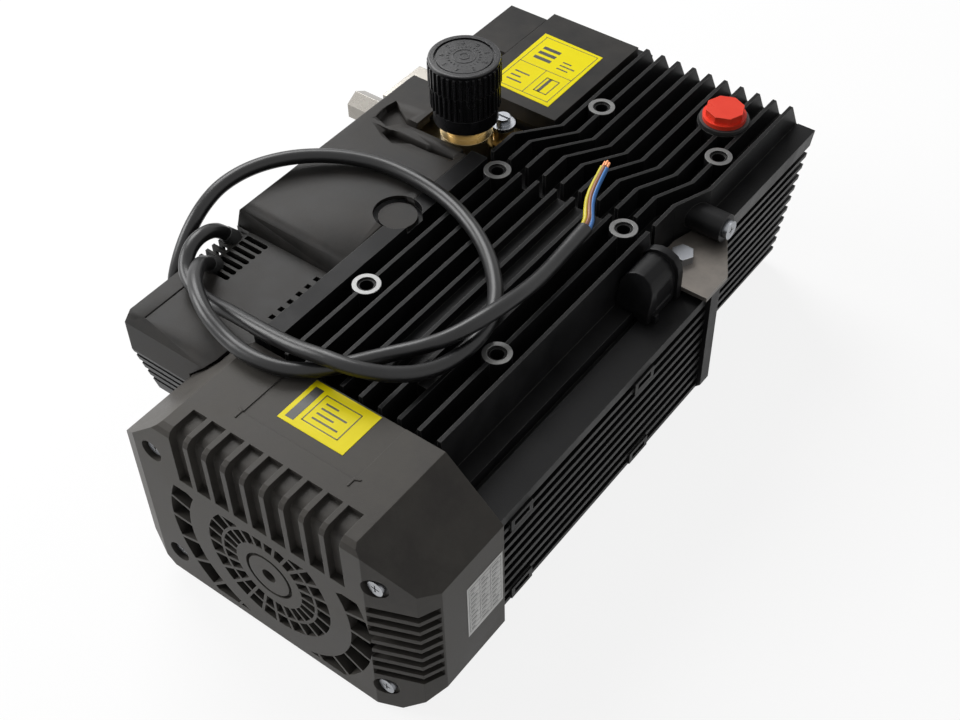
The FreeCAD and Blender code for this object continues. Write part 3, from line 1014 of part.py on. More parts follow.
CORE_ROUTE = [(34, 43.4, 158), (33.4, 50, 157.5), (27, 56, 158), (21, 65, 162), (18, 79, 166), (16, 92, 172)]
CORE_SPREAD = [("core_earth", (-2.2, 0, 0.6)), ("core_live", (1.5, 0, 1.9)), ("core_neutral", (1.0, 0, -2.2))]
ARC_SHARE = 0.45


def tube(points, radius):
    """A round bar along a route; prints its tightest bend."""
    spots = [Vector(*point) for point in points]
    edges = []
    start = spots[0]
    tight = 1000.0
    for before, corner, after in zip(spots, spots[1:], spots[2:]):
        back = before - corner
        ahead = after - corner
        half = (math.pi - back.getAngle(ahead)) / 2
        reach = ARC_SHARE * min(back.Length, ahead.Length)
        bend = reach / math.tan(half)
        tight = min(tight, bend)
        back.normalize()
        ahead.normalize()
        first = corner + back * reach
        second = corner + ahead * reach
        middle_way = (back + ahead).normalize()
        centre = corner + middle_way * (bend / math.cos(half))
        middle = centre - middle_way * bend
        edges.append(Part.LineSegment(start, first).toShape())
        edges.append(Part.Arc(first, middle, second).toShape())
        start = second
    edges.append(Part.LineSegment(start, spots[-1]).toShape())
    line = doc.addObject("Part::Feature", "Route")
    line.Shape = Part.Wire(edges)
    section = doc.addObject("Part::Circle", "Section")
    section.setExpression("Radius", bound(radius))
    section.Placement = Placement(spots[0], Rotation(Vector(0, 0, 1), spots[1] - spots[0]))
    sweep = doc.addObject("Part::Sweep", "Lead")
    sweep.Sections = [section]
    sweep.Spine = (line, [])
    sweep.Solid = True
    sweep.Frenet = False
    print(f"route: length {line.Shape.Length:.1f}, tightest bend {tight:.1f}")
    return sweep


def leads():
    node("link_lead", tube(LINK_ROUTE, "lead_radius"))
    node("mains_lead", tube(MAINS_ROUTE, "lead_radius"))
    tips = []
    for label, (dx, dy, dz) in CORE_SPREAD:
        points = [(x + dx * (1 + 0.5 * step), y + dy, z + dz * (1 + 0.3 * step))
                  for step, (x, y, z) in enumerate(CORE_ROUTE)]
        node(label, tube(points, "core_radius"))
        end = Vector(*points[-1])
        way = end - Vector(*points[-2])
        tip = doc.addObject("Part::Cylinder", "Tip")
        tip.setExpression("Radius", bound("wire_radius"))
        tip.setExpression("Height", bound("wire_long"))
        tip.Placement = Placement(end, Rotation(Vector(0, 0, 1), way))
        tips.append(tip)
    node("core_tips", group(*tips))


for make in (motor_housing, crankcase, rear_cover, fan_cowl, motor, pump, regulator, regulator_spring,
             filler_plug, terminal_box, covers, side_fittings, leads):
    make()
doc.recompute()

for thing in doc.Objects:
    if "Invalid" in thing.State or "Error" in thing.State:
        raise RuntimeError(f"{thing.Name} did not build: {thing.State}")
for label, thing in NODES.items():
    shape = thing.Shape
    if shape.isNull() or not shape.isValid():
        raise RuntimeError(f"{label} has no valid shape")
    shape.exportStep(f"parts/{label}.step")
print(len(NODES), "nodes written")
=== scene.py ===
import json
from math import cos, radians, sin

import bpy
from bpy.props import FloatProperty, FloatVectorProperty, IntProperty, PointerProperty
from mathutils import Matrix, Vector


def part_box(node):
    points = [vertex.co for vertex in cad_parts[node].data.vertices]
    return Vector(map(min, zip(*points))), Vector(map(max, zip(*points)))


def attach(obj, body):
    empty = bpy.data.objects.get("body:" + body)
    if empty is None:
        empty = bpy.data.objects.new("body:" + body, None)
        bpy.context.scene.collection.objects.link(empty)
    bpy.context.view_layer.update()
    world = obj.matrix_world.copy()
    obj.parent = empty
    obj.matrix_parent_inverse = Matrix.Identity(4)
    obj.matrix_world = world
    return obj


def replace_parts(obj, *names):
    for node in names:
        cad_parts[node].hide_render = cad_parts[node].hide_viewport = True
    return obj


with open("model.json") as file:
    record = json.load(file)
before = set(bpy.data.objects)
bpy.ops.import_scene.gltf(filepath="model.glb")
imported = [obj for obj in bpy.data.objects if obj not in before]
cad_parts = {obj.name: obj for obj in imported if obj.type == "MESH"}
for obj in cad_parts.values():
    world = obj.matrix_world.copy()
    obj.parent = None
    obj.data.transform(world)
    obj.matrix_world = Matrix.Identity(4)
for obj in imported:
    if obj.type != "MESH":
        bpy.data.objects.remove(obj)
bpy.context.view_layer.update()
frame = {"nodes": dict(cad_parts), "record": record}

bl_info = {
    "name": "High-Pressure Pump",
    "version": (1, 0, 0),
    "blender": (4, 5, 0),
    "location": "3D Viewport > Sidebar > Pump",
    "description": "Dresses the solids of a pressure washer's motor pump unit",
    "category": "Object",
}

UNIT = "unit"
MM = 0.001


def low(node):
    """Lowest corner of a node at rest."""
    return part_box(node)[0]


def high(node):
    """Highest corner of a node at rest."""
    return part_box(node)[1]


# Sizes and colours that a user may change

class PumpSizes(bpy.types.PropertyGroup):
    lead_diameter: FloatProperty(
        name="Lead diameter", description="Outside of the rubber sheath",
        default=0.0095, unit="LENGTH")
    core_diameter: FloatProperty(
        name="Core diameter", description="Outside of one insulated core",
        default=0.003, unit="LENGTH")
    label_thickness: FloatProperty(
        name="Label thickness", description="How far a sticker stands off its surface",
        default=0.0002, unit="LENGTH")
    knob_ticks: IntProperty(
        name="Knob ticks", description="Marks around the top of the knob",
        default=24, min=4)


class PumpColours(bpy.types.PropertyGroup):
    casting: FloatVectorProperty(
        name="Casting", description="Black paint of the castings", subtype="COLOR",
        default=(0.006, 0.006, 0.0065))
    plastic: FloatVectorProperty(
        name="Plastic", description="Moulded covers", subtype="COLOR",
        default=(0.015, 0.0145, 0.014))
    sheath: FloatVectorProperty(
        name="Sheath", description="Rubber of the leads", subtype="COLOR",
        default=(0.009, 0.009, 0.0095))
    sticker: FloatVectorProperty(
        name="Sticker", description="Ground of the stickers", subtype="COLOR",
        default=(0.93, 0.80, 0.004))
    plug: FloatVectorProperty(
        name="Filler plug", description="Red plastic of the filler plug", subtype="COLOR",
        default=(0.95, 0.07, 0.035))


# Shared shader groups: they put out only what varies over the surface

SLOW_SCALE = 22.0
SMEAR_SCALE = 75.0
# Scale of the noise that breaks up the painted edge highlight
HIGHLIGHT_BREAK_SCALE = 160.0
SLOW_SHARE = 0.6
GRAIN_HEIGHT = 0.0002
EDGE_SAMPLES = 4
TONE_RANGE = (0.38, 0.62)
ROUGH_RANGE = (0.35, 0.65)
# Where the painted edge highlight lies, how it is broken up and its least share
HIGHLIGHT_COSINES = (0.985, 0.75)
HIGHLIGHT_BREAK_RANGE = (0.35, 0.62)
HIGHLIGHT_LEAST = 0.35
LIGHTER_BY = 1.5
LIGHTER_LIFT = 0.004


def new_group(name, inputs, outputs):
    """An empty shader group with its sockets."""
    tree = bpy.data.node_groups.new(name, "ShaderNodeTree")
    for label, value in inputs:
        socket = tree.interface.new_socket(name=label, in_out="INPUT", socket_type="NodeSocketFloat")
        socket.default_value = value
    for label, kind in outputs:
        tree.interface.new_socket(name=label, in_out="OUTPUT", socket_type=kind)
    return tree, tree.nodes.new("NodeGroupInput"), tree.nodes.new("NodeGroupOutput")


def feed(tree, value, socket):
    """Link a socket to an input, or set the input to a plain value."""
    if isinstance(value, bpy.types.NodeSocket):
        tree.links.new(value, socket)
    else:
        socket.default_value = value


def maths(tree, operation, *values, clamp=False):
    """A Math node on sockets or plain values."""
    node = tree.nodes.new("ShaderNodeMath")
    node.operation = operation
    node.use_clamp = clamp
    for value, socket in zip(values, node.inputs):
        feed(tree, value, socket)
    return node.outputs[0]


def spread(tree, source, low_in, high_in, low_out=0.0, high_out=1.0):
    """A Map Range on a value."""
    ramp = tree.nodes.new("ShaderNodeMapRange")
    limits = {"From Min": low_in, "From Max": high_in, "To Min": low_out, "To Max": high_out}
    for label, value in limits.items():
        feed(tree, value, ramp.inputs[label])
    tree.links.new(source, ramp.inputs["Value"])
    return ramp.outputs["Result"]


def noise(tree, place, scale, detail, rough=0.55):
    """Noise on a place."""
    node = tree.nodes.new("ShaderNodeTexNoise")
    node.inputs["Detail"].default_value = detail
    node.inputs["Roughness"].default_value = rough
    feed(tree, scale, node.inputs["Scale"])
    tree.links.new(place, node.inputs["Vector"])
    return node.outputs["Fac"]


def soft_normal(tree, radius):
    """The normal of the surface with its edges rounded over a radius."""
    bevel = tree.nodes.new("ShaderNodeBevel")
    bevel.samples = EDGE_SAMPLES
    tree.links.new(radius, bevel.inputs["Radius"])
    return bevel.outputs["Normal"]


def grain_group():
    """Fine grain with slow unevenness and smears: normal, tone and roughness."""
    tree, given, out = new_group(
        "Surface Grain",
        [("Scale", 900.0), ("Depth", 0.2), ("Rough Low", 0.3), ("Rough High", 0.5), ("Edge Round", 0.0004)],
        [("Normal", "NodeSocketVector"), ("Tone", "NodeSocketFloat"), ("Roughness", "NodeSocketFloat")])
    place = tree.nodes.new("ShaderNodeTexCoord").outputs["Object"]
    bump = tree.nodes.new("ShaderNodeBump")
    bump.inputs["Distance"].default_value = GRAIN_HEIGHT
    tree.links.new(soft_normal(tree, given.outputs["Edge Round"]), bump.inputs["Normal"])
    tree.links.new(given.outputs["Depth"], bump.inputs["Strength"])
    tree.links.new(noise(tree, place, given.outputs["Scale"], 3.0), bump.inputs["Height"])
    tree.links.new(bump.outputs["Normal"], out.inputs["Normal"])
    smear = maths(tree, "MULTIPLY", noise(tree, place, SMEAR_SCALE, 6.0, 0.7), 1 - SLOW_SHARE)
    tone = maths(tree, "MULTIPLY_ADD", noise(tree, place, SLOW_SCALE, 3.0), SLOW_SHARE, smear)
    tree.links.new(tone, out.inputs["Tone"])
    rough = spread(tree, tone, *ROUGH_RANGE, given.outputs["Rough Low"], given.outputs["Rough High"])
    tree.links.new(rough, out.inputs["Roughness"])
    return tree


def edge_group():
    """A mask of the edges that get a painted highlight, broken up by noise."""
    tree, given, out = new_group("Painted Edge Highlight", [("Radius", 0.0006), ("Amount", 1.0)],
                                 [("Mask", "NodeSocketFloat")])
    turn = tree.nodes.new("ShaderNodeVectorMath")
    turn.operation = "DOT_PRODUCT"
    tree.links.new(soft_normal(tree, given.outputs["Radius"]), turn.inputs[0])
    tree.links.new(tree.nodes.new("ShaderNodeNewGeometry").outputs["Normal"], turn.inputs[1])
    edge = spread(tree, turn.outputs["Value"], *HIGHLIGHT_COSINES)
    place = tree.nodes.new("ShaderNodeTexCoord").outputs["Object"]
    broken = spread(tree, noise(tree, place, HIGHLIGHT_BREAK_SCALE, 5.0, 0.7), *HIGHLIGHT_BREAK_RANGE, HIGHLIGHT_LEAST)
    painted_highlight = maths(tree, "MULTIPLY", edge, broken)
    tree.links.new(maths(tree, "MULTIPLY", painted_highlight, given.outputs["Amount"], clamp=True), out.inputs["Mask"])
    return tree


def blend_colours(tree, mask, first, second):
    """Mix two colours or colour sockets by a mask."""
    mix = tree.nodes.new("ShaderNodeMix")
    mix.data_type = "RGBA"
    tree.links.new(mask, mix.inputs["Factor"])
    for label, value in (("A", first), ("B", second)):
        if not isinstance(value, bpy.types.NodeSocket):
            value = (*value[:3], 1.0)
        feed(tree, value, mix.inputs[label])
    return mix.outputs["Result"]


def shared_group(tree, name, make, values):
    """A node that holds a shared group, with its inputs set."""
    node = tree.nodes.new("ShaderNodeGroup")
    node.node_tree = bpy.data.node_groups.get(name) or make()
    for label, value in values.items():
        node.inputs[label].default_value = value
    return node


FINISHES = {}


def finish(name, tone, other=None, rough=(0.35, 0.5), scale=900.0, depth=0.2, metallic=0.0,
           edge=None, edge_radius=0.0006, edge_amount=1.0, gloss=0.5):
    """A material from the shared groups: two tones, grain, and a painted highlight on the edges where asked.
    """
    if name in FINISHES:
        return FINISHES[name]
    material = bpy.data.materials.new(name)
    material.use_nodes = True
    tree = material.node_tree
    shader = tree.nodes["Principled BSDF"]
    shader.inputs["Metallic"].default_value = metallic
    shader.inputs["Specular IOR Level"].default_value = gloss
    values = {"Scale": scale, "Depth": depth, "Rough Low": rough[0], "Rough High": rough[1]}
    grain = shared_group(tree, "Surface Grain", grain_group, values)
    if other is None:
        other = tuple(min(1.0, part * LIGHTER_BY + LIGHTER_LIFT) for part in tone[:3])
    colour = blend_colours(tree, spread(tree, grain.outputs["Tone"], *TONE_RANGE), tone, other)
    # Lighter colour along the edges: a painted highlight
    if edge is not None:
        values = {"Radius": edge_radius, "Amount": edge_amount}
        painted_highlight = shared_group(tree, "Painted Edge Highlight", edge_group, values)
        colour = blend_colours(tree, painted_highlight.outputs["Mask"], colour, edge)
    tree.links.new(colour, shader.inputs["Base Color"])
    tree.links.new(grain.outputs["Roughness"], shader.inputs["Roughness"])
    tree.links.new(grain.outputs["Normal"], shader.inputs["Normal"])
    FINISHES[name] = material
    return material


# In the finishes below, the edge colour is a painted highlight along the edges
def casting():
    return finish("Black Casting", bpy.context.scene.pump_colours.casting, (0.011, 0.011, 0.0115),
                  rough=(0.34, 0.5), scale=1100.0, depth=0.35, edge=(0.16, 0.158, 0.15),
                  edge_radius=0.0008, edge_amount=0.9, gloss=0.11)


def plastic():
    return finish("Moulded Plastic", bpy.context.scene.pump_colours.plastic, (0.034, 0.031, 0.028),
                  rough=(0.36, 0.5), scale=1500.0, depth=0.3, edge=(0.10, 0.096, 0.09),
                  edge_radius=0.0006, edge_amount=0.6, gloss=0.14)


def cowl_plastic():
    return finish("Cowl Plastic", (0.058, 0.054, 0.050), (0.080, 0.075, 0.068), rough=(0.32, 0.46),
                  scale=1500.0, depth=0.3, edge=(0.16, 0.155, 0.145), edge_radius=0.0006,
                  edge_amount=0.7, gloss=0.1)


def black_plastic():
    return finish("Black Plastic", (0.006, 0.006, 0.0065), rough=(0.3, 0.42), scale=1400.0, depth=0.25,
                  edge=(0.05, 0.05, 0.05), edge_amount=0.5, gloss=0.12)


def knob_plastic():
    return finish("Knob Plastic", (0.005, 0.005, 0.006), rough=(0.18, 0.3), scale=1300.0, depth=0.15,
                  edge=(0.16, 0.16, 0.165), edge_radius=0.0004, edge_amount=0.8, gloss=0.4)


def sticker_film():
    return finish("Sticker Film", bpy.context.scene.pump_colours.sticker, (0.88, 0.74, 0.004),
                  rough=(0.3, 0.42), scale=400.0, depth=0.08, gloss=0.12)


def sticker_print():
    return finish("Sticker Print", (0.012, 0.012, 0.012), (0.03, 0.03, 0.02), rough=(0.35, 0.5))


def plate_foil():
    return finish("Plate Foil", (0.42, 0.42, 0.41), (0.33, 0.33, 0.32), rough=(0.3, 0.45), scale=300.0,
                  depth=0.1, metallic=0.6)


def plate_print():
    return finish("Plate Print", (0.10, 0.10, 0.10), (0.16, 0.16, 0.16), rough=(0.4, 0.5))


def machined():
    return finish("Machined Face", (0.13, 0.13, 0.13), (0.20, 0.20, 0.195), rough=(0.28, 0.42),
                  metallic=0.7, edge=(0.5, 0.5, 0.49), edge_radius=0.0004)


def dull_steel():
    return finish("Dull Steel", (0.13, 0.12, 0.11), (0.20, 0.18, 0.16), rough=(0.36, 0.55), scale=420.0,
                  depth=0.3, metallic=0.75, edge=(0.45, 0.43, 0.40), edge_radius=0.0004, gloss=0.4)


def brass():
    return finish("Dulled Brass", (0.60, 0.48, 0.27), (0.44, 0.34, 0.18), rough=(0.22, 0.42), scale=500.0,
                  depth=0.15, metallic=1.0, edge=(0.80, 0.62, 0.34), edge_radius=0.0004)


def zinc():
    return finish("Zinc Plate", (0.36, 0.37, 0.39), (0.25, 0.26, 0.28), rough=(0.22, 0.38), scale=700.0,
                  depth=0.15, metallic=1.0, edge=(0.80, 0.80, 0.78), edge_radius=0.0003)


def nickel():
    return finish("Nickel Plate", (0.36, 0.34, 0.31), (0.28, 0.265, 0.24), rough=(0.2, 0.34), scale=600.0,
                  depth=0.1, metallic=1.0, edge=(0.75, 0.73, 0.70), edge_radius=0.0003)


def steel():
    return finish("Ground Steel", (0.52, 0.52, 0.53), (0.40, 0.40, 0.41), rough=(0.25, 0.42), scale=800.0,
                  depth=0.12, metallic=1.0)


def laminated():
    return finish("Laminated Iron", (0.20, 0.20, 0.21), (0.14, 0.14, 0.15), rough=(0.4, 0.55), scale=1200.0,
                  depth=0.3, metallic=0.8)


def copper():
    return finish("Copper", (0.66, 0.30, 0.16), (0.52, 0.22, 0.11), rough=(0.25, 0.4), metallic=1.0)


def rubber():
    return finish("Soft Rubber", (0.012, 0.012, 0.012), rough=(0.5, 0.65), scale=800.0, depth=0.25)


def sheath():
    return finish("Rubber Sheath", bpy.context.scene.pump_colours.sheath, rough=(0.26, 0.38), scale=650.0,
                  depth=0.2, gloss=0.4)


def red_plastic():
    return finish("Red Plastic", bpy.context.scene.pump_colours.plug, (0.88, 0.05, 0.025),
                  rough=(0.22, 0.36), scale=700.0, depth=0.15, edge=(0.95, 0.12, 0.07),
                  edge_radius=0.0005, edge_amount=0.5, gloss=0.2)


def can_paint():
    return finish("Can Paint", (0.62, 0.63, 0.64), (0.55, 0.56, 0.57), rough=(0.3, 0.45))


def earth_core():
    return finish("Earth Core", (0.72, 0.62, 0.03), (0.60, 0.52, 0.03), rough=(0.25, 0.4))


def live_core():
    return finish("Live Core", (0.30, 0.11, 0.04), (0.24, 0.08, 0.03), rough=(0.25, 0.4))


def neutral_core():
    return finish("Neutral Core", (0.02, 0.19, 0.55), (0.02, 0.15, 0.46), rough=(0.25, 0.4))


SLOT_FINISHES = {
    "cast_black": casting, "plastic_dark": plastic, "plastic_black": black_plastic,
    "knob_black": knob_plastic, "brass": brass, "zinc": zinc, "nickel": nickel, "steel": steel,
    "lamination": laminated, "winding": copper, "rubber": rubber, "lead_black": sheath,
    "red_plastic": red_plastic, "can_grey": can_paint, "core_green": earth_core,
    "core_brown": live_core, "core_blue": neutral_core,
}
NODE_FINISHES = {"regulator_collar": knob_plastic, "steel_bracket": dull_steel}


class PUMP_OT_finishes(bpy.types.Operator):
    """Give every solid of the frame its finish"""
    bl_idname = "pump.finishes"
    bl_label = "Finish the solids"

    def execute(self, context):
        slots = {part["node"]: part["material_slot"] for part in frame["record"]["subparts"]}
        for name, solid in frame["nodes"].items():
            make = NODE_FINISHES.get(name) or SLOT_FINISHES[slots[name]]
            solid.data.materials.clear()
            solid.data.materials.append(make())
        return {"FINISHED"}


# Stage

CAMERA_PLACE = (0.3924, -0.520, 0.750)
CAMERA_TURN = (38.0997, 46.692, -1.552)
FOCAL_PIXELS = 1469.93
PICTURE_WIDTH = 960
SENSOR_WIDTH = 36
LAMPS = (
    ("key_lamp", (-1.5, 0.75, 1.75), 1.3, 38.0),
    ("left_lamp", (-2.0, -0.95, 1.15), 1.2, 34.0),
    ("right_lamp", (1.9, -0.1, 1.2), 1.4, 1.0),
)
LAMP_AIM = (0, 0, 0.08)
WORLD_LIGHT = 0.18
FLOOR_SIZE = 14
FLOOR_GLOW = 1.03
FLOOR_GLOW_SHARE = 0.84


def seen_directly(tree):
    """Camera, glossy and transmission rays as one factor."""
    ray = tree.nodes.new("ShaderNodeLightPath")
    total = ray.outputs["Is Camera Ray"]
    for label in ("Is Glossy Ray", "Is Transmission Ray"):
        total = maths(tree, "ADD", total, ray.outputs[label], clamp=True)
    return total


def mixed_shader(tree, factor, first, second, output):
    """Lead a mix of two shaders to the surface of an output node."""
    mix = tree.nodes.new("ShaderNodeMixShader")
    for socket, value in zip(mix.inputs, (factor, first.outputs[0], second.outputs[0])):
        tree.links.new(value, socket)
    tree.links.new(mix.outputs[0], tree.nodes[output].inputs["Surface"])


def pale_floor():
    """White floor that keeps the object's shadow and fades evenly to white."""
    material = bpy.data.materials.new("Pale Floor")
    material.use_nodes = True
    tree = material.node_tree
    shader = tree.nodes["Principled BSDF"]
    shader.inputs["Base Color"].default_value = (0.9, 0.9, 0.9, 1)
    shader.inputs["Roughness"].default_value = 0.9
    shader.inputs["Specular IOR Level"].default_value = 0.1
    glow = tree.nodes.new("ShaderNodeEmission")
    glow.inputs["Strength"].default_value = FLOOR_GLOW
    share = maths(tree, "MULTIPLY", seen_directly(tree), FLOOR_GLOW_SHARE)
    mixed_shader(tree, share, shader, glow, "Material Output")
    return material


class PUMP_OT_stage(bpy.types.Operator):
    """Set the pale floor, the soft lights and the camera"""
    bl_idname = "pump.stage"
    bl_label = "Set the stage"

    def execute(self, context):
        bpy.ops.object.select_all(action="DESELECT")
        bpy.ops.mesh.primitive_plane_add(size=FLOOR_SIZE, location=(0, 0, 0))
        floor = context.object
        floor.name = "floor"
        floor.data.materials.append(pale_floor())
        self.lights(context)
        self.world(context)
        self.camera(context)
        context.scene.view_settings.view_transform = "Standard"
        return {"FINISHED"}

    def lights(self, context):
        """Large soft lamps: two on the left and a faint one on the right."""
        for name, place, size, power in LAMPS:
            data = bpy.data.lights.new(name, "AREA")
            data.shape = "SQUARE"
            data.size = size
            data.energy = power
            lamp = bpy.data.objects.new(name, data)
            context.scene.collection.objects.link(lamp)
            lamp.location = place
            aim = Vector(LAMP_AIM) - Vector(place)
            lamp.rotation_euler = aim.to_track_quat("-Z", "Y").to_euler()

    def world(self, context):
        """White where it is seen or mirrored, and dimmer as a light."""
        world = bpy.data.worlds.new("Pale Studio")
        context.scene.world = world
        world.use_nodes = True
        tree = world.node_tree
        lit = tree.nodes["Background"]
        shown = tree.nodes.new("ShaderNodeBackground")
        for background, strength in ((lit, WORLD_LIGHT), (shown, 1.0)):
            background.inputs["Color"].default_value = (1, 1, 1, 1)
            background.inputs["Strength"].default_value = strength
        mixed_shader(tree, seen_directly(tree), lit, shown, "World Output")

    def camera(self, context):
        """A camera turned by azimuth, height and roll, in degrees."""
        azimuth, height, roll = (radians(part) for part in CAMERA_TURN)
        back = Vector((sin(azimuth) * cos(height), -cos(azimuth) * cos(height), sin(height)))
        right = Vector((0, 0, 1)).cross(back).normalized()
        up = back.cross(right)
        right_rolled = cos(roll) * right + sin(roll) * up
        up_rolled = -sin(roll) * right + cos(roll) * up
        data = bpy.data.cameras.new("camera")
        data.sensor_width = SENSOR_WIDTH
        data.lens = FOCAL_PIXELS / PICTURE_WIDTH * SENSOR_WIDTH
        camera = bpy.data.objects.new("camera", data)
        context.scene.collection.objects.link(camera)
        turn = Matrix((right_rolled, up_rolled, back)).transposed().to_4x4()
        camera.matrix_world = Matrix.Translation(CAMERA_PLACE) @ turn
        context.scene.camera = camera


# Modelling: primitives in millimetres, shaped in edit mode and with modifiers

AXES = {"X": Vector((1, 0, 0)), "Y": Vector((0, 1, 0)), "Z": Vector((0, 0, 1))}
TURNS = {"X": (0, radians(90), 0), "Y": (radians(90), 0, 0), "Z": (0, 0, 0)}
WELD = 0.000002


def clear_selection():
    """Select nothing, so that the next primitive is alone."""
    bpy.ops.object.select_all(action="DESELECT")


def only(piece):
    """Make one piece the selected and active one."""
    clear_selection()
    piece.select_set(True)
    bpy.context.view_layer.objects.active = piece


def take(name):
    """Name the primitive just added and move its place into its mesh."""
    piece = bpy.context.object
    piece.name = name
    piece.data.name = name
    bpy.ops.object.transform_apply(location=True, rotation=True, scale=True)
    return piece


def block(x, y, z, length, width, height):
    """A block from its lowest corner."""
    clear_selection()
    centre = (x + length / 2, y + width / 2, z + height / 2)
    bpy.ops.mesh.primitive_cube_add(size=1, location=Vector(centre) * MM,
                                    scale=Vector((length, width, height)) * MM)
    return take("block")


def rod(x, y, z, radius, length, along="Z", sides=64, far_radius=None):
    """A round bar, or a cone, from the middle of its first end."""
    clear_selection()
    centre = (Vector((x, y, z)) + AXES[along] * length / 2) * MM
    if far_radius is None:
        far_radius = radius
    first, second = (far_radius, radius) if along == "Y" else (radius, far_radius)
    bpy.ops.mesh.primitive_cone_add(vertices=sides, radius1=first * MM, radius2=second * MM,
                                    depth=length * MM, location=centre, rotation=TURNS[along])
    return take("rod")


def prism(outline, along, start, length):
    """A closed outline pushed out along an axis; pairs are (y, z), (x, z) or (x, y)."""
    clear_selection()
    bpy.ops.mesh.primitive_circle_add(vertices=len(outline), radius=1, fill_type="NGON")
    piece = bpy.context.object
    for vertex, (first, second) in zip(piece.data.vertices, outline):
        spot = {"X": (start, first, second), "Y": (first, start, second), "Z": (first, second, start)}[along]
        vertex.co = Vector(spot) * MM
    bpy.ops.object.mode_set(mode="EDIT")
    bpy.ops.mesh.select_all(action="SELECT")
    bpy.ops.mesh.extrude_region_move(TRANSFORM_OT_translate={"value": AXES[along] * length * MM})
    bpy.ops.mesh.select_all(action="SELECT")
    bpy.ops.mesh.normals_make_consistent(inside=False)
    bpy.ops.object.mode_set(mode="OBJECT")
    return take("prism")


def merged(pieces):
    """Several meshes as one object."""
    only(pieces[0])
    for piece in pieces:
        piece.select_set(True)
    if len(pieces) > 1:
        bpy.ops.object.join()
    return bpy.context.object


def carve(piece, tools, way="DIFFERENCE", crossing=False):
    """Cut tools out of a piece, or join them to it."""
    tool = merged(tools)
    change = piece.modifiers.new("carve", "BOOLEAN")
    change.operation = way
    change.solver = "EXACT"
    change.use_self = crossing
    change.object = tool
    only(piece)
    bpy.ops.object.modifier_apply(modifier=change.name)
    bpy.data.objects.remove(tool)
    return piece


def rounded(piece, width, segments=2, angle=35):
    """Round the sharp edges of a piece."""
    change = piece.modifiers.new("round", "BEVEL")
    change.width = width * MM
    change.segments = segments
    change.limit_method = "ANGLE"
    change.angle_limit = radians(angle)
    only(piece)
    bpy.ops.object.modifier_apply(modifier=change.name)
    return piece


def done(piece, name, material, body=UNIT, smooth=35):
    """Name a finished piece, give it its material, shade it and let it ride."""
    piece.name = name
    piece.data.name = name
    piece.data.materials.clear()
    piece.data.materials.append(material)
    only(piece)
    bpy.ops.object.mode_set(mode="EDIT")
    bpy.ops.mesh.select_all(action="SELECT")
    bpy.ops.mesh.remove_doubles(threshold=WELD)
    bpy.ops.mesh.normals_make_consistent(inside=False)
    bpy.ops.object.mode_set(mode="OBJECT")
    bpy.ops.object.shade_smooth_by_angle(angle=radians(smooth))
    even = piece.modifiers.new("even", "WEIGHTED_NORMAL")
    even.keep_sharp = True
    even.weight = 100
    bpy.ops.object.modifier_apply(modifier=even.name)
    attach(piece, body)
    return piece


def copied(node):
    """A merged copy of a solid of the frame, to be shaped."""
    piece = frame["nodes"][node].copy()
    piece.data = frame["nodes"][node].data.copy()
    for key in list(piece.keys()):
        del piece[key]
    piece.parent = None
    bpy.context.scene.collection.objects.link(piece)
    only(piece)
    bpy.ops.object.mode_set(mode="EDIT")
    bpy.ops.mesh.select_all(action="SELECT")
    bpy.ops.mesh.remove_doubles(threshold=WELD)
    bpy.ops.object.mode_set(mode="OBJECT")
    return piece


def mm_box(node):
    """A node's lowest and highest corners in millimetres."""
    return low(node) / MM, high(node) / MM


# Fan cowl, in millimetres; depths are measured back from its front face

PAST = 1.0
COWL_SET_BACK = 3.0
COWL_AXIS = 68.0
COWL_TOP_HALF = 69.0
COWL_SIDE = 107.0
COWL_SIDE_FOOT = 23.5
COWL_SIDE_TOP = 115.4
COWL_FOOT_HALF = 88.0
COWL_FOOT_RISE = 2.0
COWL_ROUND = 0.9

CORNER_START = 74.0
CORNER_KNEE = (101.0, 11.0)
CORNER_DEPTH = 24.0
LEFT_CORNER_START = 94.0
LEFT_CORNER_DEPTH = 5.0
TOP_EDGE = 5.0
TOP_EDGE_KNEE = 1.7

COWL_WALL = 3.0
COWL_TOP_WALL = 3.5
HOLLOW_FOOT = 6.0
HOLLOW_DEPTH = 27.0
FACE_WALL = 6.0
ROOM_HALF = 71.0
ROOM_FOOT = 9.0
ROOM_HEIGHT = 96.0
CORNER_ROOM_DEPTH = 21.0
CORNER_ROOM_WIDTH = 24.0
CORNER_ROOM_FOOT = 30.0
CORNER_ROOM_HEIGHT = 75.0

WELL_COUNT = 9
WELL_PITCH = 13.9
WELL_WIDTH = 10.4
WELL_LEDGE = 109.0
WELL_DEPTH = 5.0
WELL_SINK = 3.5
WELL_LENGTH = 20.5
WELL_TURN = 6.0
WELL_KNEE = 2.0

LOUVRE_COUNT = 8
LOUVRE_FOOT = 37.4
LOUVRE_PITCH = 8.6
LOUVRE_GAP = 5.4
LOUVRE_DEPTH = 23.0

GRILLE_BANDS = ((60.5, 75.0), (36.0, 45.5), (24.5, 34.0))
GRILLE_FOOT = -55.95
GRILLE_TOP = 31.95
SPOKES = 24
SPOKE_HALF = 1.0
ARC_STEPS = 4
SMALLEST_OPENING = 1.5

HUB_GROOVE = (15.0, 17.2)
HUB_GROOVE_DEPTH = 3.0
HUB_HOLE = 5.0
HUB_HOLE_DEPTH = 4.0
POCKET_RADIUS = 7.5
POCKET_FLOOR = 9.0
POCKET_SPOTS = [(x, z) for x in (-80, 80) for z in (26, 121)]

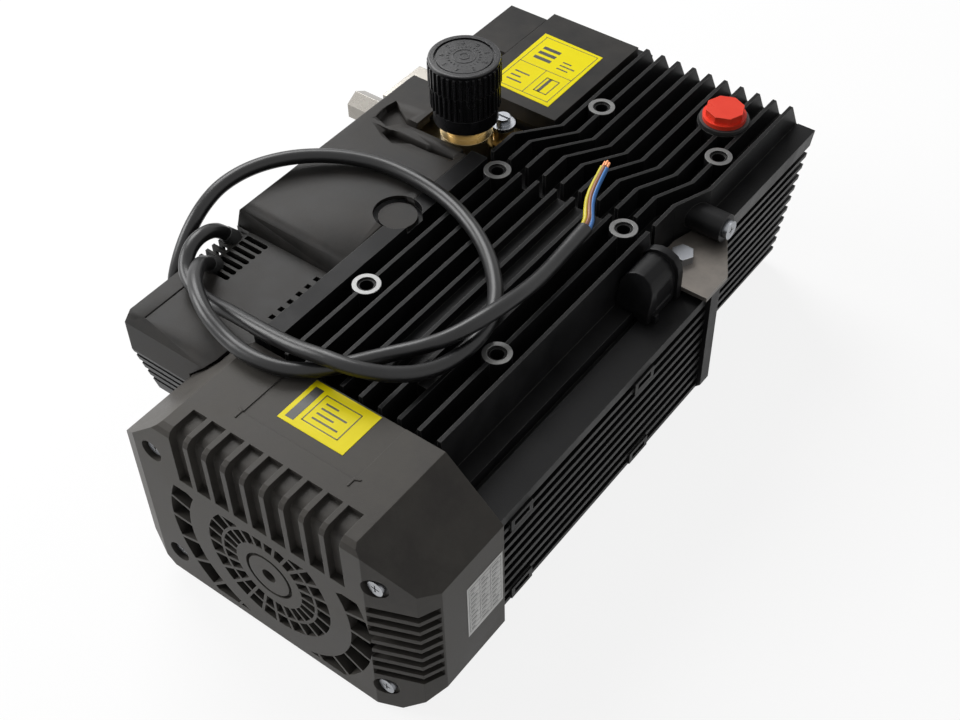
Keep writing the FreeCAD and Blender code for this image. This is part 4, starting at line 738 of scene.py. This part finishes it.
PANEL_LEFT = -38.0
PANEL_WIDTH = 80.0
PANEL_LENGTH = 43.0
PANEL_SINK = 0.6
HOOK_FOOT = 149.7
HOOK_HEIGHT = 0.9
HOOK_WIDTH = 1.4
HOOK_REACH = 4.5
HOOK_LENGTH = 5.0
HOOK_END = 2.6
HOOK_ROUND = 0.4
HOOK_GAP = 0.5


def hood(wall, top, floor):
    """Section of the cowl, moved in by a wall."""
    side = COWL_SIDE - wall
    right = [(COWL_TOP_HALF - wall / 2, top - wall), (side, COWL_SIDE_TOP - wall / 2),
             (side, COWL_SIDE_FOOT + wall / 2), (COWL_FOOT_HALF - wall, floor + wall)]
    return right + [(-x, z) for x, z in reversed(right)]


def clipped(outline, level, above):
    """The part of a closed outline that lies above, or below, a level line."""
    kept = []
    for (x0, z0), (x1, z1) in zip(outline, outline[1:] + outline[:1]):
        starts_in = z0 >= level if above else z0 <= level
        ends_in = z1 >= level if above else z1 <= level
        if starts_in:
            kept.append((x0, z0))
        if starts_in != ends_in:
            kept.append((x0 + (x1 - x0) * (level - z0) / (z1 - z0), level))
    return kept


def grille_cell(number, inner, outer):
    """Outline of one opening between two spokes, cut off flat at the window."""
    pitch = radians(360 / SPOKES)
    outline = []
    for radius, order in ((outer, range(ARC_STEPS + 1)), (inner, range(ARC_STEPS, -1, -1))):
        margin = SPOKE_HALF / radius
        for step in order:
            angle = pitch * number + margin + (pitch - 2 * margin) * step / ARC_STEPS
            outline.append((radius * cos(angle), COWL_AXIS + radius * sin(angle)))
    outline = clipped(outline, COWL_AXIS + GRILLE_FOOT, True)
    outline = clipped(outline, COWL_AXIS + GRILLE_TOP, False)
    heights = [z for x, z in outline]
    return outline if heights and max(heights) - min(heights) > SMALLEST_OPENING else None


class PUMP_OT_cowl(bpy.types.Operator):
    """Model the fan cowl: wells on its front edge, ring grille, hub and louvres"""
    bl_idname = "pump.cowl"
    bl_label = "Model the fan cowl"

    def execute(self, context):
        lowest, highest = mm_box("fan_cowl")
        front = lowest.y + COWL_SET_BACK
        back = highest.y
        top = highest.z
        shell = prism(hood(0, top, lowest.z + COWL_FOOT_RISE), "Y", front, back - front)
        self.bevels(shell, front, top)
        carve(shell, [self.hollow(front, back, top), self.front_room(front, back)], crossing=True)
        carve(shell, [self.corner_room(front, back)])
        carve(shell, self.wells(front, top) + [self.panel(back, top)])
        carve(shell, self.louvres(front))
        carve(shell, self.openings(front))
        carve(shell, self.hub(front) + self.pockets(front, lowest.y))
        piece = done(shell, "cowl_shell", cowl_plastic(), smooth=30)
        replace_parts(piece, "fan_cowl")
        ends = ((PANEL_LEFT, -1), (PANEL_LEFT + PANEL_WIDTH - PAST, 1))
        hooks = [self.hook(x, side, back - PANEL_LENGTH - HOOK_GAP) for x, side in ends]
        done(merged(hooks), "cowl_panel_hooks", cowl_plastic())
        return {"FINISHED"}

    def bevels(self, shell, front, top):
        """Wide right corner with a knee, narrow left corner and rounded top edge."""
        ahead = front - PAST
        outside = COWL_SIDE + 2 * PAST
        right = [(CORNER_START, ahead), (CORNER_START, front), (CORNER_KNEE[0], front + CORNER_KNEE[1]),
                 (COWL_SIDE, front + CORNER_DEPTH), (outside, front + CORNER_DEPTH), (outside, ahead)]
        left = [(-LEFT_CORNER_START, ahead), (-LEFT_CORNER_START, front),
                (-COWL_SIDE, front + LEFT_CORNER_DEPTH), (-outside, front + LEFT_CORNER_DEPTH),
                (-outside, ahead)]
        edge = [(ahead, top - TOP_EDGE), (front, top - TOP_EDGE),
                (front + TOP_EDGE_KNEE, top - TOP_EDGE_KNEE), (front + TOP_EDGE, top),
                (front + TOP_EDGE, top + PAST), (ahead, top + PAST)]
        end = outside + PAST
        carve(shell, [prism(right, "Z", -PAST, top + 2 * PAST)])
        carve(shell, [prism(left, "Z", -PAST, top + 2 * PAST), prism(edge, "X", -end, 2 * end)])
        rounded(shell, COWL_ROUND, 3, 20)

    def hollow(self, front, back, top):
        """Room behind the bevelled corners, open at the back."""
        section = hood(COWL_WALL, top - COWL_TOP_WALL, HOLLOW_FOOT)
        return prism(section, "Y", front + HOLLOW_DEPTH, back - front)

    def front_room(self, front, back):
        """Room behind the grille."""
        return block(-ROOM_HALF, front + FACE_WALL, ROOM_FOOT, 2 * ROOM_HALF, back - front, ROOM_HEIGHT)

    def corner_room(self, front, back):
        """Room behind the louvres."""
        return block(CORNER_START, front + CORNER_ROOM_DEPTH, CORNER_ROOM_FOOT, CORNER_ROOM_WIDTH,
                     back - front, CORNER_ROOM_HEIGHT)

    def wells(self, front, top):
        """Wells that run over the top front edge down to a ledge."""
        floor = top - WELL_SINK
        wall = front + WELL_DEPTH
        end = front + WELL_LENGTH
        outline = [(front - PAST, WELL_LEDGE), (wall, WELL_LEDGE), (wall, floor - WELL_TURN),
                   (wall + WELL_KNEE, floor - WELL_KNEE), (wall + WELL_TURN, floor), (end, floor),
                   (end, top + PAST), (front - PAST, top + PAST)]
        middle = WELL_COUNT // 2
        return [prism(outline, "X", WELL_PITCH * (number - middle) - WELL_WIDTH / 2, WELL_WIDTH)
                for number in range(WELL_COUNT)]

    def panel(self, back, top):
        """Shallow sunk panel that holds the sticker, open at the back edge."""
        return block(PANEL_LEFT, back - PANEL_LENGTH, top - PANEL_SINK, PANEL_WIDTH, PANEL_LENGTH + 2 * PAST,
                     2 * PAST)

    def louvres(self, front):
        """Gaps between the louvres, round the wide corner."""
        width = COWL_SIDE + 2 * PAST - CORNER_START
        return [block(CORNER_START, front - PAST, LOUVRE_FOOT + LOUVRE_PITCH * number, width,
                      LOUVRE_DEPTH + PAST, LOUVRE_GAP) for number in range(LOUVRE_COUNT)]

    def openings(self, front):
        """All openings of the grille."""
        outlines = [grille_cell(number, *band) for band in GRILLE_BANDS for number in range(SPOKES)]
        return [prism(outline, "Y", front - PAST, FACE_WALL + 3 * PAST) for outline in outlines if outline]

    def hub(self, front):
        """Ring groove and the centre hole."""
        inner, outer = HUB_GROOVE
        groove = rod(0, front - PAST, COWL_AXIS, outer, HUB_GROOVE_DEPTH + PAST, "Y")
        core = rod(0, front - 2 * PAST, COWL_AXIS, inner, HUB_GROOVE_DEPTH + 3 * PAST, "Y")
        carve(groove, [core])
        return [groove, rod(0, front - PAST, COWL_AXIS, HUB_HOLE, HUB_HOLE_DEPTH + PAST, "Y", 32)]

    def pockets(self, front, first):
        """Round pockets down to the screw heads' seats."""
        length = first + POCKET_FLOOR - front + PAST
        return [rod(x, front - PAST, z, POCKET_RADIUS, length, "Y", 40) for x, z in POCKET_SPOTS]

    def hook(self, x, side, y):
        """A small moulded ridge that turns a corner beside the panel."""
        inner = x + HOOK_WIDTH * side
        outer = x + HOOK_REACH * side
        outline = [(x, y - HOOK_LENGTH), (inner, y - HOOK_LENGTH), (inner, y), (outer, y + HOOK_WIDTH),
                   (outer, y + HOOK_END), (x, y + HOOK_WIDTH)]
        return rounded(prism(outline, "Z", HOOK_FOOT, HOOK_HEIGHT), HOOK_ROUND)


# Pressure knob, in millimetres

KNOB_FLUTES = 36
KNOB_CORE = 21.2
KNOB_CORE_TOP = 1.5
KNOB_SKIRT = 23.2
KNOB_SKIRT_FLUTE = 1.9
KNOB_SKIRT_FOOT = 1.0
KNOB_GAP = 0.8
KNOB_CROWN = 24.0
KNOB_CROWN_FLUTE = 1.8
KNOB_CROWN_HEIGHT = 18.2
KNOB_CROWN_TOP = 3.0
KNOB_RIM = 23.4
KNOB_RIM_HEIGHT = 3.6
KNOB_RIM_ROUND = 1.1
DIAL_RADIUS = 18.4
DIAL_SINK = 0.5
DIAL_GROOVE = (18.3, 19.6)
DIAL_GROOVE_DEPTH = 1.8
DIAL_GROOVE_PAST = 1.2
SPINDLE_BORE = 5.2
SPINDLE_BORE_DEPTH = 29.0

NUMBER_COUNT = 9
NUMBER_RADIUS = 14.6
NUMBER_SINK = 0.55
NUMBER_SIZE = 4.6
NUMBER_HALF_HEIGHT = 0.3
MARK_SINK = 0.6
MARK_HEIGHT = 0.35
TICK_START = 9.6
TICK_LENGTH = 1.6
TICK_WIDTH = 0.5
RING_RADII = (7.6, 3.4)
RING_WIDTH = 0.6


def fluted(x, y, z, radius, depth, height):
    """A round body with flutes."""
    outline = []
    for step in range(KNOB_FLUTES * 4):
        reach = radius - (depth if step % 4 in (2, 3) else 0)
        angle = radians(360 * step / (KNOB_FLUTES * 4))
        outline.append((x + reach * cos(angle), y + reach * sin(angle)))
    return prism(outline, "Z", z, height)


class PUMP_OT_knob(bpy.types.Operator):
    """Model the pressure knob with its two fluted rings and its dial"""
    bl_idname = "pump.knob"
    bl_label = "Model the pressure knob"

    def execute(self, context):
        lowest, highest = mm_box("regulator_knob")
        x, y = (lowest.x + highest.x) / 2, (lowest.y + highest.y) / 2
        foot, top = lowest.z, highest.z
        middle = top - KNOB_CROWN_HEIGHT
        body = rod(x, y, foot, KNOB_CORE, top - foot - KNOB_CORE_TOP)
        skirt = fluted(x, y, foot + KNOB_SKIRT_FOOT, KNOB_SKIRT, KNOB_SKIRT_FLUTE,
                       middle - foot - KNOB_SKIRT_FOOT - KNOB_GAP)
        crown = fluted(x, y, middle, KNOB_CROWN, KNOB_CROWN_FLUTE, top - middle - KNOB_CROWN_TOP)
        rim = rod(x, y, top - KNOB_RIM_HEIGHT, KNOB_RIM, KNOB_RIM_HEIGHT, sides=128)
        for part in (skirt, crown, rounded(rim, KNOB_RIM_ROUND, 3)):
            carve(body, [part], "UNION")
        inner, outer = DIAL_GROOVE
        groove = rod(x, y, top - DIAL_GROOVE_DEPTH, outer, DIAL_GROOVE_DEPTH + DIAL_GROOVE_PAST, sides=96)
        core = rod(x, y, top - DIAL_GROOVE_DEPTH - DIAL_GROOVE_PAST, inner,
                   DIAL_GROOVE_DEPTH + 3 * DIAL_GROOVE_PAST, sides=96)
        carve(body, [carve(groove, [core])])
        carve(body, [rod(x, y, top - DIAL_SINK, DIAL_RADIUS, 2 * PAST, sides=96)])
        carve(body, [rod(x, y, foot - PAST, SPINDLE_BORE, SPINDLE_BORE_DEPTH + PAST)])
        piece = done(body, "pressure_knob", knob_plastic(), "knob", 28)
        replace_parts(piece, "regulator_knob")
        marks = self.numbers(x, y, top - NUMBER_SINK) + self.ticks(context, x, y, top - MARK_SINK)
        done(merged(marks), "knob_dial_marks", knob_plastic(), "knob")
        return {"FINISHED"}

    def numbers(self, x, y, z):
        """Plain numbers round the dial."""
        marks = []
        for number in range(NUMBER_COUNT):
            angle = radians(90 - 360 * number / NUMBER_COUNT)
            clear_selection()
            spot = Vector((x + NUMBER_RADIUS * cos(angle), y + NUMBER_RADIUS * sin(angle), z)) * MM
            bpy.ops.object.text_add(location=spot, rotation=(0, 0, angle - radians(90)))
            text = bpy.context.object
            text.data.body = str(number)
            text.data.size = NUMBER_SIZE * MM
            text.data.align_x = "CENTER"
            text.data.align_y = "CENTER"
            text.data.extrude = NUMBER_HALF_HEIGHT * MM
            text.data.resolution_u = 3
            bpy.ops.object.convert(target="MESH")
            marks.append(take("number"))
        return marks

    def ticks(self, context, x, y, z):
        """Short marks inside the numbers and two rings round the middle."""
        marks = []
        count = context.scene.pump_sizes.knob_ticks
        for number in range(count):
            mark = block(TICK_START, -TICK_WIDTH / 2, z, TICK_LENGTH, TICK_WIDTH, MARK_HEIGHT)
            only(mark)
            mark.rotation_euler = (0, 0, radians(360 * number / count))
            mark.location = Vector((x, y, 0)) * MM
            bpy.ops.object.transform_apply(location=True, rotation=True, scale=True)
            marks.append(mark)
        for radius in RING_RADII:
            hole = rod(x, y, z - PAST, radius - RING_WIDTH, 3 * PAST)
            marks.append(carve(rod(x, y, z, radius, MARK_HEIGHT), [hole]))
        return marks


# Labels, in millimetres; a bar of print is its lowest corner, length and width

def text_rows(x, y, pitch, width, lengths):
    """Bars of print under each other."""
    return [(x, y + pitch * row, length, width) for row, length in enumerate(lengths)]


def drawn_box(x, y, length, width, line):
    """Four bars round a box."""
    return [(x, y, length, line), (x, y + width - line, length, line), (x, y, line, width),
            (x + length - line, y, line, width)]


PRINT_HEIGHT = 0.04
COWL_STICKER = (-21, -173, 47, 33)
COWL_STICKER_BARS = [(-18, -170, 6, 26), *drawn_box(-9, -167, 26, 21.7, 0.7),
                     *text_rows(-5, -163, 4, 1.2, (18, 12, 18, 9))]
COVER_STICKER = [(-108.5, 138.5), (-59.5, 137.3), (-60.6, 205.2), (-110, 206.2)]
COVER_STICKER_BARS = [
    (-105.5, 141, 43, 0.5), (-107, 202.5, 43.5, 0.5), (-106.3, 141, 0.5, 61.5), (-63.5, 141, 0.5, 61.5),
    (-106, 170, 43, 0.5), (-84, 141, 0.5, 29), *text_rows(-101, 178, 6, 3.2, (14, 14, 14)),
    *text_rows(-80, 176, 4, 1.2, (9, 12, 7)), *text_rows(-102, 148, 5, 1.4, (12, 8, 12)),
    *drawn_box(-79, 147, 10.8, 17, 0.8), (-76.5, 147, 2.4, 17)]

PLATE_START = (-173, 49)
PLATE_SIZE = (32, 45.5)
PLATE_LINES = (-171.5, 52)
PLATE_LINE_WIDTH = 0.25
PLATE_ROWS = 10
PLATE_ROW = 4.0
PLATE_ROW_LENGTH = 29
PLATE_COLUMNS = 3
PLATE_COLUMN = 9.6
PLATE_PRINT_HEIGHT = 0.05
FIELD_MARGIN = (1.5, 1.2)
FIELD_BAR_LEAST = 3


class PUMP_OT_labels(bpy.types.Operator):
    """Put on the two stickers and the rating plate, with plain bars for print"""
    bl_idname = "pump.labels"
    bl_label = "Put on the labels"

    def execute(self, context):
        thick = context.scene.pump_sizes.label_thickness / MM
        top = high("fan_cowl").z / MM - PANEL_SINK
        x, y, length, width = COWL_STICKER
        done(block(x, y, top, length, width, thick), "cowl_sticker", sticker_film())
        self.printed("cowl_sticker_print", COWL_STICKER_BARS, top + thick)
        top = high("far_cover").z / MM
        done(prism(COVER_STICKER, "Z", top, thick), "cover_sticker", sticker_film())
        self.printed("cover_sticker_print", COVER_STICKER_BARS, top + thick)
        side = high("fan_cowl").x / MM
        done(block(side, *PLATE_START, thick, *PLATE_SIZE), "rating_plate", plate_foil())
        done(merged(self.plate_rows(side + thick)), "rating_plate_print", plate_print())
        return {"FINISHED"}

    def printed(self, name, bars, z):
        """Flat bars of print at a height."""
        pieces = [block(x, y, z, length, width, PRINT_HEIGHT) for x, y, length, width in bars]
        done(merged(pieces), name, sticker_print())

    def plate_rows(self, x):
        """Ruled rows and columns of the plate, with a bar of uneven length in each field."""
        y, z = PLATE_LINES
        lines = [block(x, y, z + PLATE_ROW * row, PLATE_PRINT_HEIGHT, PLATE_ROW_LENGTH, PLATE_LINE_WIDTH)
                 for row in range(PLATE_ROWS + 1)]
        lines += [block(x, y + PLATE_COLUMN * column, z, PLATE_PRINT_HEIGHT, PLATE_LINE_WIDTH,
                        PLATE_ROW * PLATE_ROWS) for column in range(PLATE_COLUMNS + 1)]
        for number in range(PLATE_ROWS * PLATE_COLUMNS):
            row, column = divmod(number, PLATE_COLUMNS)
            lines.append(block(x, y + FIELD_MARGIN[0] + PLATE_COLUMN * column,
                               z + FIELD_MARGIN[1] + PLATE_ROW * row,
                               PLATE_PRINT_HEIGHT, FIELD_BAR_LEAST + (number * 7) % 4, 1.0))
        return lines


# Side block on the shelf, in millimetres; its section is in pairs of x and z, its slope of y and z

BLOCK_SECTION = ((65.3, 121.3), (65.3, 139.5), (69.3, 145.5), (74.3, 147.5), (80, 147.5), (85, 145),
                 (88, 140), (89, 134), (89, 117.3), (83, 117.3), (78, 121.3))
BLOCK_START = 31.0
BLOCK_LENGTH = 30.0
BLOCK_ROUND = 0.8
BLOCK_SLOPE = ((29, 126), (31, 126), (39, 149), (29, 149))
SLOPE_START = 60.0
SLOPE_LENGTH = 35.0
SUNK_PANEL = (88, 40, 122.5, 3, 17.5, 15)
SUNK_PANEL_ROUND = 1.5
FOOT_LUG = (86, 35, 117.4, 6, 4, 6)
FOOT_LUG_ROUND = 0.6
FLANGE_START = 60.0
FLANGE_WIDTH = 5.6
FLANGE_ROUND = 0.7
FLANGE_PROUD = (2.5, 3.0)
BLOCK_INNER = 65.0
BLOCK_WIDTH = 24.0
BLOCK_SHOULDER = 130.0


class PUMP_OT_side_block(bpy.types.Operator):
    """Model the block on the side shelf with its flange and sunk panel"""
    bl_idname = "pump.side_block"
    bl_label = "Model the side block"

    def execute(self, context):
        body = prism(BLOCK_SECTION, "Y", BLOCK_START, BLOCK_LENGTH)
        carve(body, [prism(BLOCK_SLOPE, "X", SLOPE_START, SLOPE_LENGTH)])
        rounded(body, BLOCK_ROUND, 2, 25)
        flange = prism([self.proud(x, z) for x, z in BLOCK_SECTION], "Y", FLANGE_START, FLANGE_WIDTH)
        carve(body, [rounded(flange, FLANGE_ROUND, 2, 25)], "UNION")
        carve(body, [rounded(block(*SUNK_PANEL), SUNK_PANEL_ROUND, 3)])
        carve(body, [rounded(block(*FOOT_LUG), FOOT_LUG_ROUND)], "UNION")
        piece = done(body, "side_block_body", black_plastic(), smooth=28)
        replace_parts(piece, "side_block")
        return {"FINISHED"}

    def proud(self, x, z):
        """A point of the section moved out for the flange, most at the outer side and the top."""
        out, up = FLANGE_PROUD
        if x > BLOCK_INNER + 1:
            x += out * (x - BLOCK_INNER) / BLOCK_WIDTH
        return x, z + (up if z > BLOCK_SHOULDER else 0)


# Covers on the left and boss faces, in millimetres; outlines are pairs of x and y

UPPER_GROOVE = ((-146.3, 62.2), (-148.3, 75.1), (-146.7, 83.8), (-129.6, 73.3), (-119, 72.8), (-78, 72.8),
                (-78, 68.8), (-110, 68), (-123.8, 67.5), (-128.7, 65.7), (-134.4, 58.3))
LOWER_GROOVE = ((-132.6, 51.5), (-132.3, 55.7), (-127.9, 58.1), (-101.3, 57.7), (-98, 60.1), (-79.8, 60.5),
                (-77, 56), (-93.8, 53.6), (-110.1, 53.1), (-120, 46.5))
GROOVE_DEPTH = 6.0
PLUG_DEPTH = 8.0
# Plugs of the plain grooves: x, y, length, width; of the plain vents: height, length, rise
GROOVE_PLUGS = ((-149, 45, 70.5, 27), (-150, 60, 29, 27))
VENT_PLUG_Y = -104.0
VENT_PLUG_WIDTH = 43.4
VENT_PLUGS = ((132, 26, 3), (121, 3, 13))
VENT_COUNT = 7
VENT_PITCH = 5.7
VENT_WIDTH = 3.6
INNER_VENT_FOOT = 130.0
INNER_VENT_HEIGHT = 8.0
OUTER_VENT_FOOT = 123.0
OUTER_VENT_HEIGHT = 14.0
INNER_VENT_Y = -99.6
OUTER_VENT_Y = -98.5
INNER_VENT_X = -147.6
INNER_VENT_LENGTH = 16.0
OUTER_VENT_LENGTH = 11.6
BOSS_TOP = 150.0
BOSS_FACE = (5.9, 8.8)
BOSS_FACE_HEIGHT = 0.12
BOSS_SPOTS = [(x, y) for y in (-65, 65) for x in (-48, 48)] + [(x, 158.5) for x in (-30.5, 59.5)]


class PUMP_OT_covers(bpy.types.Operator):
    """Shape the grooves of the left cover, the vents of the box cover and the faces of the bosses"""
    bl_idname = "pump.covers"
    bl_label = "Shape the covers"

    def execute(self, context):
        self.side_cover()
        self.box_cover()
        self.boss_faces()
        return {"FINISHED"}

    def side_cover(self):
        """Two shaped grooves in place of the plain ones, which are filled first."""
        cover = copied("left_cover")
        top = high("left_cover").z / MM
        for x, y, length, width in GROOVE_PLUGS:
            carve(cover, [block(x, y, top - PLUG_DEPTH, length, width, PLUG_DEPTH)], "UNION")
        carve(cover, [prism(groove, "Z", top - GROOVE_DEPTH, GROOVE_DEPTH + 2 * PAST)
                      for groove in (UPPER_GROOVE, LOWER_GROOVE)])
        piece = done(cover, "regulator_side_cover", plastic(), smooth=30)
        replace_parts(piece, "left_cover")

    def box_cover(self):
        """Two rows of slots in place of the plain ones, which are filled first."""
        cover = copied("terminal_box_cover")
        left = mm_box("terminal_box_cover")[0].x
        for height, length, rise in VENT_PLUGS:
            carve(cover, [block(left, VENT_PLUG_Y, height, length, VENT_PLUG_WIDTH, rise)], "UNION")
        inner = []
        for number in range(VENT_COUNT):
            y = INNER_VENT_Y + VENT_PITCH * number
            inner.append(block(INNER_VENT_X, y - VENT_WIDTH / 2, INNER_VENT_FOOT, INNER_VENT_LENGTH,
                               VENT_WIDTH, INNER_VENT_HEIGHT))
            inner.append(rod(INNER_VENT_X + INNER_VENT_LENGTH, y, INNER_VENT_FOOT, VENT_WIDTH / 2,
                             INNER_VENT_HEIGHT, sides=24))
        carve(cover, inner, crossing=True)
        carve(cover, [block(left - PAST, OUTER_VENT_Y + VENT_PITCH * number, OUTER_VENT_FOOT,
                            OUTER_VENT_LENGTH, VENT_WIDTH, OUTER_VENT_HEIGHT)
                      for number in range(VENT_COUNT)])
        piece = done(cover, "electrics_box_cover", plastic(), smooth=30)
        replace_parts(piece, "terminal_box_cover")

    def boss_faces(self):
        """Bare faces on top of the six threaded bosses."""
        inner, outer = BOSS_FACE
        rings = []
        for x, y in BOSS_SPOTS:
            hole = rod(x, y, BOSS_TOP - PAST, inner, 3 * PAST)
            rings.append(carve(rod(x, y, BOSS_TOP, outer, BOSS_FACE_HEIGHT), [hole]))
        done(merged(rings), "boss_faces", machined())


# Leads, in metres

LINK_POINTS = [
    (-0.1555, -0.0730, 0.1380), (-0.1568, -0.0768, 0.1438), (-0.1570, -0.0830, 0.1486),
    (-0.1565, -0.0910, 0.1515), (-0.1558, -0.0985, 0.1520), (-0.1540, -0.1060, 0.1505),
    (-0.1512, -0.1118, 0.1480), (-0.1465, -0.1172, 0.1455), (-0.1380, -0.1225, 0.1445),
    (-0.1280, -0.1255, 0.1445), (-0.1170, -0.1275, 0.1450), (-0.0970, -0.1300, 0.1505),
    (-0.069, -0.134, 0.1565), (-0.041, -0.137, 0.162), (-0.017, -0.136, 0.167), (0.002, -0.133, 0.167),
    (0.017, -0.123, 0.163), (0.028, -0.108, 0.158), (0.034, -0.090, 0.155), (0.036, -0.070, 0.155),
    (0.033, -0.051, 0.155), (0.024, -0.033, 0.155), (0.009, -0.016, 0.155), (-0.008, -0.002, 0.155),
    (-0.029, 0.010, 0.155), (-0.053, 0.019, 0.155), (-0.080, 0.023, 0.155), (-0.107, 0.022, 0.155),
    (-0.128, 0.014, 0.156), (-0.145, 0.003, 0.157), (-0.160, -0.013, 0.158), (-0.171, -0.033, 0.158),
    (-0.1755, -0.054, 0.1565), (-0.1760, -0.070, 0.1515), (-0.1750, -0.0835, 0.1445),
    (-0.1736, -0.0945, 0.1360), (-0.1722, -0.1035, 0.1260), (-0.171, -0.110, 0.1155),
    (-0.171, -0.110, 0.104),
]
MAINS_POINTS = [
    (-0.1455, -0.0985, 0.1380), (-0.1438, -0.1038, 0.1444), (-0.1400, -0.1110, 0.1506),
    (-0.1335, -0.1195, 0.1555), (-0.1265, -0.1275, 0.1585), (-0.1175, -0.1350, 0.1600),
    (-0.1070, -0.1415, 0.1600), (-0.0955, -0.1465, 0.1585), (-0.0790, -0.1505, 0.1560),
    (-0.061, -0.153, 0.156), (-0.043, -0.151, 0.156), (-0.029, -0.144, 0.155), (-0.017, -0.132, 0.155),
    (-0.008, -0.120, 0.155), (0.001, -0.107, 0.155), (0.014, -0.093, 0.157), (0.028, -0.081, 0.164),
    (0.037, -0.062, 0.169), (0.040, -0.039, 0.167), (0.039, -0.012, 0.161), (0.036, 0.015, 0.158),
    (0.034, 0.043, 0.158),
]
CORE_POINTS = [
    (0.034, 0.0434, 0.158), (0.0325, 0.050, 0.158), (0.0275, 0.057, 0.1585), (0.0225, 0.0655, 0.1605),
    (0.0195, 0.0765, 0.1635), (0.0180, 0.0880, 0.1680),
]
CORE_SPREAD = {
    "core_earth": (-2.6, -0.6, 0.0), "core_live": (-0.2, 0.6, 1.4), "core_neutral": (2.6, -0.2, 0.6),
}
CORE_CLOSING = 0.08
STRAND_SHARE = 0.28
STRAND_LENGTH = 0.004
SLEEVE_FOOT_RADIUS = 0.0062
SLEEVE_END_RADIUS = 0.0051
SLEEVE_LENGTH = 0.009
SLEEVE_SET_BACK = 0.0015
SLEEVE_ROUND = 0.0006


def spline_along(name, points, diameter, material):
    """A round cord whose line is a smooth spline with these control points."""
    data = bpy.data.curves.new(name, "CURVE")
    data.dimensions = "3D"
    data.resolution_u = 10
    data.bevel_depth = diameter / 2
    data.bevel_resolution = 7
    data.use_fill_caps = True
    spline = data.splines.new("NURBS")
    spline.points.add(len(points) - 1)
    for point, place in zip(spline.points, points):
        point.co = (*place, 1.0)
    spline.order_u = 3
    spline.use_endpoint_u = True
    data.materials.append(material)
    piece = bpy.data.objects.new(name, data)
    bpy.context.scene.collection.objects.link(piece)
    return piece


class PUMP_OT_leads(bpy.types.Operator):
    """Lay the two rubber leads and the stripped cores"""
    bl_idname = "pump.leads"
    bl_label = "Lay the leads"

    def execute(self, context):
        sizes = context.scene.pump_sizes
        link = spline_along("lead_to_gland", LINK_POINTS, sizes.lead_diameter, sheath())
        mains = spline_along("lead_to_mains", MAINS_POINTS, sizes.lead_diameter, sheath())
        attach(link, UNIT)
        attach(mains, UNIT)
        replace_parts(link, "link_lead")
        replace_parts(mains, "mains_lead")
        tips = []
        for name, shift in CORE_SPREAD.items():
            points = [Vector(point) + Vector(shift) * MM * (1 - CORE_CLOSING * step)
                      for step, point in enumerate(CORE_POINTS)]
            insulation = frame["nodes"][name].data.materials[0]
            core = spline_along(name + "_wire", points, sizes.core_diameter, insulation)
            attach(core, UNIT)
            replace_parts(core, name)
            tips.append(self.tip(points[-2], points[-1], sizes.core_diameter * STRAND_SHARE))
        strands = done(merged(tips), "core_strands", copper())
        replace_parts(strands, "core_tips")
        sleeves = [self.sleeve(points[0], points[1]) for points in (LINK_POINTS, MAINS_POINTS)]
        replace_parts(done(merged(sleeves), "lead_bushes", rubber()), "cable_bushes")
        return {"FINISHED"}

    def tip(self, before, end, radius):
        """A bare end in line with its core."""
        way = (end - before).normalized()
        clear_selection()
        bpy.ops.mesh.primitive_cylinder_add(vertices=16, radius=radius, depth=STRAND_LENGTH,
                                            location=end + way * STRAND_LENGTH / 2,
                                            rotation=way.to_track_quat("Z", "Y").to_euler())
        return take("tip")

    def sleeve(self, start, toward):
        """A short tapered bush round the start of a lead."""
        start = Vector(start)
        way = (Vector(toward) - start).normalized()
        clear_selection()
        bpy.ops.mesh.primitive_cone_add(vertices=40, radius1=SLEEVE_FOOT_RADIUS,
                                        radius2=SLEEVE_END_RADIUS, depth=SLEEVE_LENGTH,
                                        location=start - way * SLEEVE_SET_BACK,
                                        rotation=way.to_track_quat("Z", "Y").to_euler())
        return rounded(take("sleeve"), SLEEVE_ROUND / MM)


class PUMP_PT_panel(bpy.types.Panel):
    """Steps that dress the pump, in order"""
    bl_idname = "PUMP_PT_panel"
    bl_label = "High-Pressure Pump"
    bl_space_type = "VIEW_3D"
    bl_region_type = "UI"
    bl_category = "Pump"

    def draw(self, context):
        for step in STEPS:
            self.layout.operator(step.bl_idname)
        for group in (context.scene.pump_sizes, context.scene.pump_colours):
            for key in group.bl_rna.properties.keys():
                if key not in ("rna_type", "name"):
                    self.layout.prop(group, key)


STEPS = (PUMP_OT_stage, PUMP_OT_finishes, PUMP_OT_cowl, PUMP_OT_knob, PUMP_OT_labels,
         PUMP_OT_side_block, PUMP_OT_covers, PUMP_OT_leads)
CLASSES = (PumpSizes, PumpColours, *STEPS, PUMP_PT_panel)


def register():
    for cls in CLASSES:
        bpy.utils.register_class(cls)
    bpy.types.Scene.pump_sizes = PointerProperty(type=PumpSizes)
    bpy.types.Scene.pump_colours = PointerProperty(type=PumpColours)


def unregister():
    del bpy.types.Scene.pump_colours
    del bpy.types.Scene.pump_sizes
    for cls in reversed(CLASSES):
        bpy.utils.unregister_class(cls)


def main():
    register()
    bpy.ops.pump.stage()
    bpy.ops.pump.finishes()
    bpy.ops.pump.cowl()
    bpy.ops.pump.knob()
    bpy.ops.pump.labels()
    bpy.ops.pump.side_block()
    bpy.ops.pump.covers()
    bpy.ops.pump.leads()


if __name__ == "__main__":
    main()
